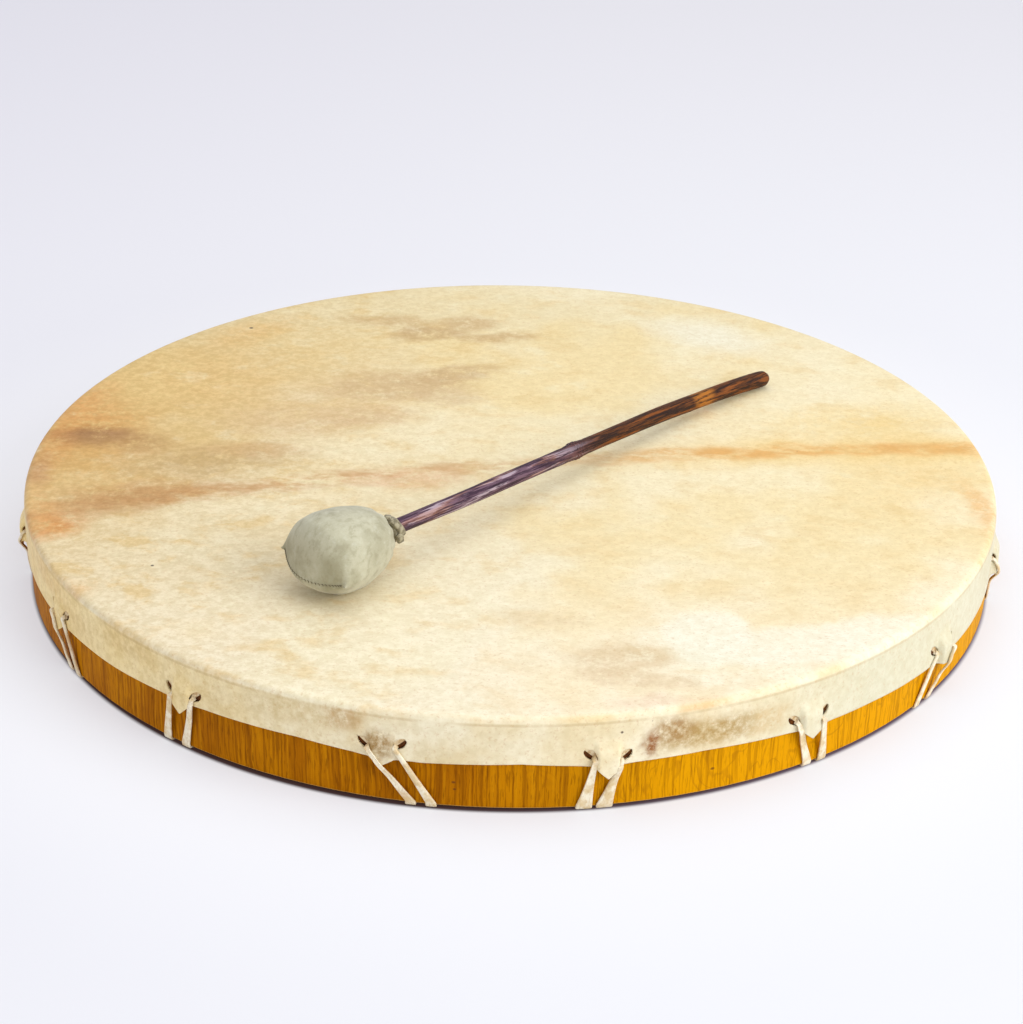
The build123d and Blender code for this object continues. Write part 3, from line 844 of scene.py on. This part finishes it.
def make_head(material):
    angles = head_columns()
    count = len(angles)
    columns = [head_column(angle) for angle in angles]
    height = len(columns[0])
    points = []
    for row in range(height):
        for angle, column in zip(angles, columns):
            points.append(polar(column[row][0], angle, column[row][1]))
    inside = open_holes(points, angles, columns)
    faces = [face for face in grid_faces(height, count, flipped=True) if not inside.intersection(face)]
    # the flat of the head: rings that get coarser towards the middle
    ring = list(range(count))
    for radius, every in HEAD_RINGS:
        kept = list(range(0, len(ring), every))
        inner = []
        for index in kept:
            outer_point = points[ring[index]]
            turn = math.degrees(math.atan2(outer_point.y, outer_point.x))
            inner.append(len(points))
            points.append(polar(radius, turn, HEAD_TOP))
        for number, index in enumerate(kept):
            stop = kept[number + 1] if number + 1 < len(kept) else len(ring)
            run = [ring[place % len(ring)] for place in range(index, stop + 1)]
            faces.append((inner[(number + 1) % len(inner)], inner[number], *run))
        ring = inner
    faces.append(tuple(ring))
    used = sorted(set(index for face in faces for index in face))
    renumber = {old: new for new, old in enumerate(used)}
    faces = [tuple(renumber[index] for index in face) for face in faces]
    points = [points[index] for index in used]
    head = make_piece("stretched_head", points, faces, material, "drum")
    thicken(head, HIDE_T)
    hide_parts("drumhead")


FLAP_ROWS = 7
FLAP_COLUMNS = 9
FLAP_T = 0.0003
FLAP_LAP = 0.0004


def make_hole_sheets(name, material, cover, top_in, bottom_in):
    """Thin sheets behind the holes, hinged at their upper edges and covering a share of each."""
    points, faces = [], []
    for slit in SLITS:
        first = len(points)
        for row in range(FLAP_ROWS):
            depth = row / (FLAP_ROWS - 1)
            inset = top_in + (bottom_in - top_in) * smooth_step(depth, 0.0, 0.8)
            for col in range(FLAP_COLUMNS):
                u = 0.96 * (2 * col / (FLAP_COLUMNS - 1) - 1)
                arch = SLIT_HALF_W * math.sqrt(1 - u * u * 0.96) + FLAP_LAP
                angle, z = slit_place(slit, SLIT_HALF_L * u, arch * (1 - 2 * depth * cover))
                points.append(polar(HIDE_OUT_R - inset, angle, z))
        faces += grid_faces(FLAP_ROWS, FLAP_COLUMNS, first, closed=False, flipped=True)
    sheets = make_piece(name, points, faces, material, "drum")
    thicken(sheets, FLAP_T)


# ---------------------------------------------------------------- laces
STRAND_STEP = 0.0028
STRAND_HALF_W = 0.0019
STRAND_HALF_T = 0.0013
# Strands run straight between these distances from the axis, inside their binding.
LANE_INNER = 0.060
LANE_OUTER = 0.096
LEG_STEPS = 7
LEG_HALF_W = 0.0015
LEG_HALF_T = 0.0006
FOOT_Z = 0.0030
FOOT_OUT_R = 0.2810
# From the foot in under the hoop: radius, height, and how far the thong's face leans outwards.
UNDER_HOOP = ((0.2806, 0.0014, 1.6), (0.2800, 0.0008, 0.4), (0.2775, 0.0006, 0.0), (0.2712, 0.0006, 0.0))
TAB_BACK_R = 0.2806


def twisted(start, end, sizes, turns):
    """Straight run that twists as it goes; sizes are rows of share, half width and half thickness."""
    length = (end - start).length
    steps = max(int(length / STRAND_STEP), 6)
    way = (end - start).normalized()
    side = way.cross(STRAIGHT_UP).normalized()
    up = side.cross(way)
    shares, widths, halves = zip(*sizes)
    stations = []
    for step in range(steps + 1):
        share = step / steps
        wide, thick = np.interp(share, shares, widths), np.interp(share, shares, halves)
        turn = 2 * pi * turns * smooth_step(share, 0.22, 1.02)
        stations.append((
            start + (end - start) * share,
            (side * cos(turn) + up * sin(turn)) * wide,
            (up * cos(turn) - side * sin(turn)) * thick,
            0.0,
        ))
    return stations


def leg_stations(layout, which):
    """Stations of one leg from behind the tab, out of its hole and down to under the hoop."""
    hole, foot = layout["holes"][which], layout["feet"][which]
    level = layout["heights"][which]
    edge = edge_height(hole + (foot - hole) * 0.35)
    inward = 1.0 if layout["tab"] > hole else -1.0
    mouth = hole + inward * 0.0023 / ARC_PER_DEGREE
    mouth_z = level - 0.0024
    mouth_r = skirt_radius(mouth, mouth_z) + 0.0010
    rng = random.Random(int(hole * 10))
    fold = rng.choice((-1.0, 1.0)) * rng.uniform(1.0, 1.8)
    foot_w = layout["foot_width"]

    def at(radius, angle, z, wide, lean, thick, fold_now):
        turn = radians(lean)
        sideways = polar(1.0, angle + 90, 0) * (wide * cos(turn)) + STRAIGHT_UP * (wide * sin(turn))
        return [*polar(radius, angle, z), *sideways, *(polar(1.0, angle, 0) * thick), fold_now]

    def down(share, wide, fold_now):
        """A station on the straight way from the hole's mouth to the foot, never inside the hide."""
        angle = mouth + (foot - mouth) * share
        z = mouth_z + (FOOT_Z - mouth_z) * share
        radius = mouth_r + (FOOT_OUT_R - mouth_r) * share
        if z > edge - 0.0005:
            radius = max(radius, skirt_radius(angle, z) + 0.0008)
        return at(radius, angle, z, wide, 0, LEG_HALF_T, fold_now)

    def flared(share):
        return LEG_HALF_W + (foot_w - LEG_HALF_W) * share

    edge_share = (mouth_z - edge) / (mouth_z - FOOT_Z)
    rest = 1 - edge_share
    rows = through([
        at(TAB_BACK_R, (layout["tab"] + hole) / 2, level - 0.0016, 0.0016, 60 * inward, 0.0005, 0.0),
        at(FOOT_OUT_R, hole + inward * 0.0018 / ARC_PER_DEGREE, level - 0.0012, LEG_HALF_W, 50 * inward,
           LEG_HALF_T, 0.4),
        down(0.0, 0.0013, fold),
        down(edge_share * 0.55, 0.0014, fold),
        down(edge_share, LEG_HALF_W, fold),
        down(edge_share + rest * 0.35, flared(0.22), fold * 0.8),
        down(edge_share + rest * 0.70, flared(0.58), fold * 0.6),
        down(1.0, foot_w, 0.2),
    ], LEG_STEPS)
    stations = [(Vector(row[0:3]), Vector(row[3:6]), Vector(row[6:9]), row[9]) for row in rows]
    wide = polar(1.0, foot + 90, 0) * foot_w
    for radius, z, outward in UNDER_HOOP:
        thick = (polar(outward, foot, 0) - STRAIGHT_UP).normalized() * LEG_HALF_T
        stations.append((polar(radius, foot, z), wide, thick, 0.0))
    return stations


def lace_path(number, direction, side):
    """All stations of one lace, from its end in the binding to its end after the hand ring."""
    layout = LAYOUTS[number]
    near = 1 if side < 0 else 0
    spin = Matrix.Rotation(radians(direction), 3, "Z")
    lane = side * LANE_Y
    across_lane = spin @ Vector((0, STRAND_HALF_W, 0))

    def strand(which, layer):
        """From the foot to the binding."""
        foot = polar(0.2700, layout["feet"][which], 0.0007)
        lane_end = spin @ Vector((BINDING[1], lane, RING_Z + layer * LAYER_Z))
        sizes = ((0.0, layout["foot_width"], LEG_HALF_T), (0.25, 0.0030, 0.0009), (0.5, 0.0021, 0.0012),
                 (1.0, STRAND_HALF_W, STRAND_HALF_T))
        return twisted(foot, lane_end, sizes, 2.5 if which else -2.5)

    def straight(x, layer):
        place = spin @ Vector((x, lane, RING_Z + layer * LAYER_Z))
        return place, across_lane, STRAIGHT_UP * STRAND_HALF_T, 0.0

    ring = []
    reach = RING_ROD_R + 0.00025 + STRAND_HALF_T
    for step in range(13):
        turn = radians(90 + 15 * step)
        out = Vector((cos(turn), 0, sin(turn)))
        place = Vector((RING_R, lane, RING_Z)) + out * reach
        ring.append((spin @ place, across_lane * -1, spin @ out * STRAND_HALF_T, 0.0))
    near_part = [straight(STRAND_END + 0.003, -1), straight(LANE_OUTER, -1)]
    near_part += list(reversed(strand(near, -1))) + list(reversed(leg_stations(layout, near)))
    far_part = leg_stations(layout, 1 - near) + strand(1 - near, 1)
    end_part = [straight(LANE_OUTER, 1), straight(BINDING[0] + 0.002, 1)]
    return near_part, far_part, end_part + ring + [straight(LANE_INNER, -1), straight(STRAND_END, -1)]


def aligned(stations):
    """Turns each cross-section so that it never flips over against the one before it."""
    made = [stations[0]]
    for centre, wide, thick, fold in stations[1:]:
        before_wide, before_thick = made[-1][1], made[-1][2]
        if wide.dot(before_wide) + thick.dot(before_thick) < 0:
            wide, thick, fold = wide * -1, thick * -1, -fold
        made.append((centre, wide, thick, fold))
    return made


def make_laces(material):
    for number, direction, side in lace_numbers():
        near_part, far_part, end_part = lace_path(number, direction, side)
        layout = LAYOUTS[number]
        level = sum(layout["heights"]) / 2 - 0.0016
        behind_tab = polar(TAB_BACK_R, layout["tab"], level)
        middle = (behind_tab, STRAIGHT_UP * 0.0020, polar(LEG_HALF_T, layout["tab"], 0), 0.0)
        stations = aligned(near_part + [middle] + far_part + end_part)
        points = strap_points(stations)
        faces = strap_faces(len(stations), 16)
        piece = make_piece(f"rawhide_lace_{number:02d}", points, faces, material, "drum")
        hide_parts(f"lace_{number:02d}")


# ---------------------------------------------------------------- bindings and hand ring
WRAP_TURNS = 11
WRAP_STEPS = 28
WRAP_HALF_T = 0.0007
WRAP_HALF_W = 0.00225


def make_bindings(material):
    for bundle in range(BUNDLES):
        rng = random.Random(50 + bundle)
        spin = Matrix.Rotation(radians(bundle * BUNDLE_STEP), 3, "Z")
        half_y, half_z = 2 * LANE_Y + 0.0005, LAYER_Z + STRAND_HALF_T + 0.0009
        stations = []
        total = WRAP_TURNS * WRAP_STEPS
        start = rng.uniform(0, 2 * pi)
        for step in range(total + 1):
            turn = start + 2 * pi * step / WRAP_STEPS
            swell = 1 + 0.05 * noise.noise(Vector((bundle * 7.0, step * 0.12, 0.0)))
            y = half_y * squared(cos(turn), 0.6) * swell
            z = half_z * squared(sin(turn), 0.6) * swell
            run = BINDING[0] + 0.0022 + (BINDING[1] - BINDING[0] - 0.0044) * step / total
            x = run + 0.0005 * noise.noise(Vector((bundle * 3.0, step * 0.06, 4.0)))
            out = Vector((0, y / half_y, z / half_z)).normalized()
            centre = spin @ Vector((x, y, RING_Z + z))
            stations.append((centre, spin @ Vector((WRAP_HALF_W, 0, 0)), (spin @ out) * WRAP_HALF_T, 0.5))
        points = strap_points(stations, 12)
        piece = make_piece(f"wound_binding_{bundle + 1}", points, strap_faces(len(stations), 12),
                           material, "drum")
        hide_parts(f"binding_{bundle + 1}")


def make_ring(material):
    points = []
    around, along = 28, 160
    for row in range(along):
        turn = 2 * pi * row / along
        way = Vector((cos(turn), sin(turn), 0))
        rod = RING_ROD_R * (1 + 0.010 * noise.noise(way * 2.4))
        for col in range(around):
            spin = 2 * pi * col / around
            points.append(way * (RING_R + rod * cos(spin)) + Vector((0, 0, RING_Z + rod * sin(spin))))
    faces = grid_faces(along, around, looped=True, flipped=True)
    piece = make_piece("wooden_hand_ring", points, faces, material, "drum")
    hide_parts("hand_ring")


# ---------------------------------------------------------------- beater
BEATER_AT = (-0.0844, -0.1560)
BEATER_HEADING = 48.75
POUCH_B = 0.0223
STICK_SPAN = 0.366
STICK_END_R = 0.0052
STICK_NODE = 0.188
# Distance along the stick, sideways bow of the natural branch, and radius.
STICK = [
    (-0.020, 0.0, 0.0042), (0.048, 0.0, 0.0042), (0.090, 0.0004, 0.0045), (0.140, 0.0022, 0.0046),
    (0.180, 0.0036, 0.0046), (0.188, 0.0041, 0.0052), (0.198, 0.0042, 0.0046), (0.235, 0.0050, 0.0047),
    (0.270, 0.0056, 0.0048), (0.313, 0.0048, 0.0049), (0.346, 0.0028, 0.0050), (0.362, 0.0009, 0.0049),
    (0.366, 0.0003, 0.0034),
]


def beater_frame():
    middle_z = HEAD_TOP + REST_GAP + POUCH_B
    grip_z = HEAD_TOP + REST_GAP + STICK_END_R
    slope = math.asin((middle_z - grip_z) / STICK_SPAN)
    along = polar(cos(slope), BEATER_HEADING, -sin(slope))
    up = polar(sin(slope), BEATER_HEADING, cos(slope))
    side = up.cross(along)
    place = Matrix((along, side, up)).transposed().to_4x4()
    place.translation = (*BEATER_AT, middle_z)
    return place


BEATER = beater_frame()


def place_beater_piece(piece):
    """Moves a piece that was made in the beater's own axes to where the beater lies."""
    piece.parent = None
    piece.matrix_world = BEATER
    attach(piece, "beater")


def make_stick(material):
    rows = through(STICK, 12)
    around = 28
    points = []
    for index, (x, bow, radius) in enumerate(rows):
        before, after = rows[max(index - 1, 0)], rows[min(index + 1, len(rows) - 1)]
        heading = Vector((after[0] - before[0], after[1] - before[1], 0)).normalized()
        side = Vector((-heading.y, heading.x, 0))
        for col in range(around):
            turn = 2 * pi * col / around
            ridge = noise.noise(Vector((x * 22, cos(turn) * 2.2, sin(turn) * 2.2 + 5)))
            fine = noise.noise(Vector((x * 60, cos(turn) * 6.0, sin(turn) * 6.0)))
            node_wave = 0.00028 * math.exp(-((x - STICK_NODE) / 0.010) ** 2) * sin(x * 2400)
            reach = radius * (1 + 0.055 * ridge + 0.022 * fine) + node_wave
            lift = Vector((0, 0, reach * sin(turn)))
            points.append(Vector((x, bow, 0)) + side * (reach * cos(turn)) + lift)
    faces = strap_faces(len(rows), around)
    stick = make_piece("branch_stick", points, faces, material, "beater")
    place_beater_piece(stick)
    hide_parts("beater_stick")


POUCH_ROWS = 34
POUCH_AROUND = 64
SEAM_TILT = 6.0
SEAM_X = -0.0290
SEAM_PULL = 0.0100
SEAM_DROP = 0.0080
SEAM_IN = 0.0013
# How far the seam's corners are pulled out, in the seam's row and the two after it.
EAR_PULLS = (0.0016, 0.0009, 0.0003)
NECK_X = 0.039
PRESSURE = 4.0
SWELL_FRAMES = 20
SWELL_LIMIT = 0.009


def pouch_section(share):
    """Half width, height and depth of the bag before it is stuffed, from its sewn end to its neck."""
    places = [0.0, 0.06, 0.14, 0.28, 0.48, 0.66, 0.80, 0.88, 1.0]
    widths = [0.0232, 0.0244, 0.0248, 0.0242, 0.0226, 0.0198, 0.0146, 0.0064, 0.0058]
    heights = [0.0004, 0.0195, 0.0262, 0.0270, 0.0240, 0.0198, 0.0144, 0.0064, 0.0058]
    depths = [0.0004, 0.0062, 0.0112, 0.0176, 0.0216, 0.0190, 0.0140, 0.0064, 0.0058]
    return [np.interp(share, places, values) for values in (widths, heights, depths)]


def make_pouch(material):
    """Suede bag: a tube sewn flat at its far end and gathered at the neck, swollen round its stuffing."""
    points = []
    for row in range(POUCH_ROWS + 1):
        share = row / POUCH_ROWS
        width, height, depth = pouch_section(share)
        for col in range(POUCH_AROUND):
            turn = 2 * pi * col / POUCH_AROUND
            x = SEAM_X + (NECK_X - SEAM_X) * share + SEAM_PULL * (1 - share) ** 3 * cos(turn) ** 2
            pleat = 1 + 0.045 * smooth_step(share, 0.62, 0.84) * sin(turn * 11 + 0.9 * sin(turn * 2))
            sink = SEAM_DROP * (1 - share) ** 2 * (1 - 0.4 * cos(turn) ** 2)
            level = (height if sin(turn) > 0 else depth) * sin(turn) * pleat
            points.append(Vector((x, width * cos(turn) * pleat, level - sink)))
    faces = grid_faces(POUCH_ROWS + 1, POUCH_AROUND)
    half = POUCH_AROUND // 2
    for col in range(1, half - 1):
        opposite = POUCH_AROUND - col
        faces.append((col, opposite, opposite - 1, col + 1))
    faces += [(0, POUCH_AROUND - 1, 1), (half, half - 1, half + 1)]
    pouch = make_piece("suede_pouch", points, faces, material, "beater")
    blow_up(pouch)
    spin = Matrix.Rotation(radians(SEAM_TILT), 3, "X")
    rest = BEATER.inverted()
    lowest_z = HEAD_TOP + REST_GAP
    for vertex in pouch.data.vertices:
        vertex.co = spin @ vertex.co
        world = BEATER @ vertex.co
        if world.z < lowest_z:
            world.z = lowest_z
            vertex.co = rest @ world
    seam = [pouch.data.vertices[index].co.copy() for index in range(POUCH_AROUND)]
    pinch_end(pouch.data.vertices)
    crown = pouch.modifiers.new("round", "SUBSURF")
    crown.levels = 2
    crown.render_levels = 2
    apply_modifiers(pouch)
    smooth_all(pouch.data)
    place_beater_piece(pouch)
    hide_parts("beater_pouch")
    return seam


def pinch_end(vertices):
    """Draws the seam into the bag, and pulls its two corners out into small ears."""
    side = Matrix.Rotation(radians(SEAM_TILT), 3, "X") @ Vector((0, 1, 0))
    for row, pull in enumerate(EAR_PULLS):
        for col in range(POUCH_AROUND):
            turn = 2 * pi * col / POUCH_AROUND
            vertex = vertices[row * POUCH_AROUND + col]
            corner = smooth_step(abs(cos(turn)), 0.93, 1.0)
            if row == 0:
                vertex.co.x += SEAM_IN * (1 - corner)
            vertex.co += side * (pull * corner * math.copysign(1, cos(turn)))
            vertex.co.x -= pull * corner * 0.5


def blow_up(pouch):
    """Cloth with pressure inside, held at the neck, then kept as the piece's mesh."""
    held = pouch.vertex_groups.new(name="held")
    neck = range(len(pouch.data.vertices) - 4 * POUCH_AROUND, len(pouch.data.vertices))
    held.add(list(neck), 1.0, "REPLACE")
    before = [vertex.co.copy() for vertex in pouch.data.vertices]
    cloth = pouch.modifiers.new("cloth", "CLOTH")
    settings = cloth.settings
    settings.vertex_group_mass = "held"
    settings.use_pressure = True
    settings.uniform_pressure_force = PRESSURE
    settings.tension_stiffness = 15.0
    settings.compression_stiffness = 15.0
    settings.shear_stiffness = 5.0
    settings.bending_stiffness = 0.5
    settings.mass = 0.3
    settings.effector_weights.gravity = 0.0
    cloth.point_cache.frame_end = SWELL_FRAMES
    scene = bpy.context.scene
    for number in range(1, SWELL_FRAMES + 1):
        scene.frame_set(number)
    apply_modifiers(pouch)
    scene.frame_set(1)
    for vertex, start in zip(pouch.data.vertices, before):
        move = vertex.co - start
        if move.length > SWELL_LIMIT:
            vertex.co = start + move.normalized() * SWELL_LIMIT


def make_core(material):
    """Wool stuffing inside the bag, out of sight."""
    points = []
    rings, around = 18, 28
    for row in range(rings + 1):
        lean = pi * row / rings
        for col in range(around):
            turn = 2 * pi * col / around
            lump = 1 + 0.05 * noise.noise(Vector((lean * 2, cos(turn), sin(turn))))
            reach = 0.0130 * sin(lean) * lump + 0.0001
            points.append(Vector((0.004 - 0.021 * cos(lean), reach * cos(turn), reach * sin(turn))))
    faces = strap_faces(rings + 1, around)
    core = make_piece("wool_core", points, faces, material, "beater")
    place_beater_piece(core)
    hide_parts("beater_core")


STITCH_R = 0.00016
STITCH_REACH = 0.0007


def make_seam(seam, thread):
    """A row of leaning stitches over the pouch's sewn end."""
    half = POUCH_AROUND // 2
    line = [(seam[col] + seam[(POUCH_AROUND - col) % POUCH_AROUND]) / 2 for col in range(2, half - 1)]
    points, faces = [], []
    for index in range(len(line) - 1):
        centre = line[index].lerp(line[index + 1], 0.5)
        way = (line[index + 1] - line[index]).normalized()
        out = Vector((centre.x + 0.010, centre.y, centre.z)).normalized()
        over = way.cross(out).normalized()
        leaning = (over + way * 0.7).normalized()
        stations = []
        for step in range(5):
            reach = STITCH_REACH * (step - 2) / 2
            sink = 0.0005 + 0.0006 * cos(pi * (step - 2) / 4.4)
            stations.append((centre + leaning * reach - out * sink, way * STITCH_R, out * STITCH_R, 0.0))
        faces += strap_faces(5, 6, len(points))
        points += strap_points(stations, 6)
    stitches = make_piece("seam_stitches", points, faces, thread, "beater")
    place_beater_piece(stitches)
    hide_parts("beater_stitches")


TIE_X = 0.0328


def make_tie(material):
    """Thong wound twice round the neck, with a knot and two short tails on its near side."""
    stations = []
    turns, steps = 2, 36
    for step in range(turns * steps + 1):
        turn = 2 * pi * step / steps - pi * 0.4
        x = TIE_X + 0.0040 * step / (turns * steps)
        reach = 0.0066 + 0.0003 * sin(turn * 3)
        out = Vector((0, cos(turn), sin(turn)))
        stations.append((Vector((x, 0, 0)) + out * reach, Vector((0.0021, 0, 0)), out * 0.0010, 0.3))
    points = strap_points(stations, 12)
    faces = strap_faces(len(stations), 12)

    def tail(route, width):
        rows = through(route, 8)
        made = []
        for index, place in enumerate(rows):
            before, after = rows[max(index - 1, 0)], rows[min(index + 1, len(rows) - 1)]
            way = Vector(after - before).normalized()
            out = Vector((0, place[1], place[2])).normalized()
            side = way.cross(out).normalized()
            centre = Vector((place[0] + TIE_X, place[1], place[2]))
            made.append((centre, side * width, side.cross(way).normalized() * 0.0010, 0.3))
        return made

    knot = tail([(-0.0012, -0.0030, 0.0080), (0.0004, -0.0062, 0.0068), (0.0030, -0.0084, 0.0026),
                 (0.0042, -0.0084, -0.0008)], 0.0021)
    hang = tail([(0.0010, -0.0084, 0.0008), (0.0020, -0.0090, -0.0014), (0.0026, -0.0087, -0.0042)], 0.0020)
    stub = tail([(0.0010, 0.0000, 0.0082), (-0.0012, -0.0022, 0.0094), (-0.0034, -0.0036, 0.0096)], 0.0019)
    for part in (knot, hang, stub):
        faces += strap_faces(len(part), 12, len(points))
        points += strap_points(part, 12)
    tie = make_piece("neck_tie", points, faces, material, "beater")
    place_beater_piece(tie)
    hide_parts("beater_tie")


# ---------------------------------------------------------------- the scene
def make_camera():
    camera = bpy.data.objects.new("camera", bpy.data.cameras.new("camera"))
    bpy.context.scene.collection.objects.link(camera)
    camera.data.lens = CAMERA_LENS
    camera.data.sensor_width = 36.0
    camera.data.clip_end = 50.0
    facing = (CAMERA_AIM - CAMERA_AT).to_track_quat("-Z", "Y").to_matrix().to_4x4()
    camera.matrix_world = Matrix.Translation(CAMERA_AT) @ facing @ Matrix.Rotation(CAMERA_ROLL, 4, "Z")
    bpy.context.scene.camera = camera


def make_floor():
    bpy.ops.mesh.primitive_plane_add(size=12.0, location=(0, FLOOR_Y, FLOOR_Z))
    floor = bpy.context.object
    floor.name = "floor"
    floor.data.materials.append(floor_material())


def soft_box(name, at, size, power, colour):
    """A rectangular lamp that faces the drum."""
    lamp = bpy.data.lights.new(name, "AREA")
    lamp.shape = "RECTANGLE"
    lamp.size, lamp.size_y = size
    lamp.energy = power
    lamp.color = colour
    box = bpy.data.objects.new(name, lamp)
    bpy.context.scene.collection.objects.link(box)
    box.location = at
    box.rotation_euler = (-Vector(at)).to_track_quat("-Z", "Y").to_euler()


def light_scene():
    scene = bpy.context.scene
    scene.view_settings.view_transform = "Standard"
    scene.world = bpy.data.worlds.new("studio")
    scene.world.use_nodes = True
    background = scene.world.node_tree.nodes["Background"]
    background.inputs[0].default_value = (0.97, 0.97, 1.0, 1.0)
    background.inputs[1].default_value = 0.52
    soft_box("key", (2.0, -1.3, 1.3), (2.2, 1.8), 52.0, (1.0, 1.0, 0.99))
    soft_box("fill", (-1.9, -1.1, 0.45), (1.6, 0.8), 6.0, (1.0, 0.96, 0.90))
    soft_box("top", (0.2, 0.3, 2.4), (3.4, 3.4), 34.0, (1.0, 1.0, 1.0))


def give(node, material):
    """Puts a material in every slot of a CAD node."""
    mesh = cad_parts[node].data
    if not mesh.materials:
        mesh.materials.append(material)
    for index in range(len(mesh.materials)):
        mesh.materials[index] = material


make_camera()
make_floor()
light_scene()

give("hoop_face_veneer", veneer_material())
ply = ply_material()
give("hoop_core", ply)
give("hoop_lining", ply)
make_head(hide_material())
pale_flap = flap_and_shade_material("hole_flap", (240, 222, 184), (206, 170, 122))
# painted shade: a dark sheet behind each whole hole, where the wood inside lies in shadow
hole_shade = flap_and_shade_material("hole_shadow", (104, 58, 20), (70, 38, 16))
make_hole_sheets("hole_flaps", pale_flap, cover=0.52, top_in=0.0002, bottom_in=0.0006)
make_hole_sheets("hole_shadows", hole_shade, cover=1.0, top_in=0.0009, bottom_in=0.0009)
rawhide = rawhide_material()
make_laces(rawhide)
make_bindings(rawhide)
make_ring(ring_wood_material())
make_stick(stick_material())
make_core(wool_material())
pouch_seam = make_pouch(suede_material())
make_seam(pouch_seam, thread_material())
make_tie(tie_material())
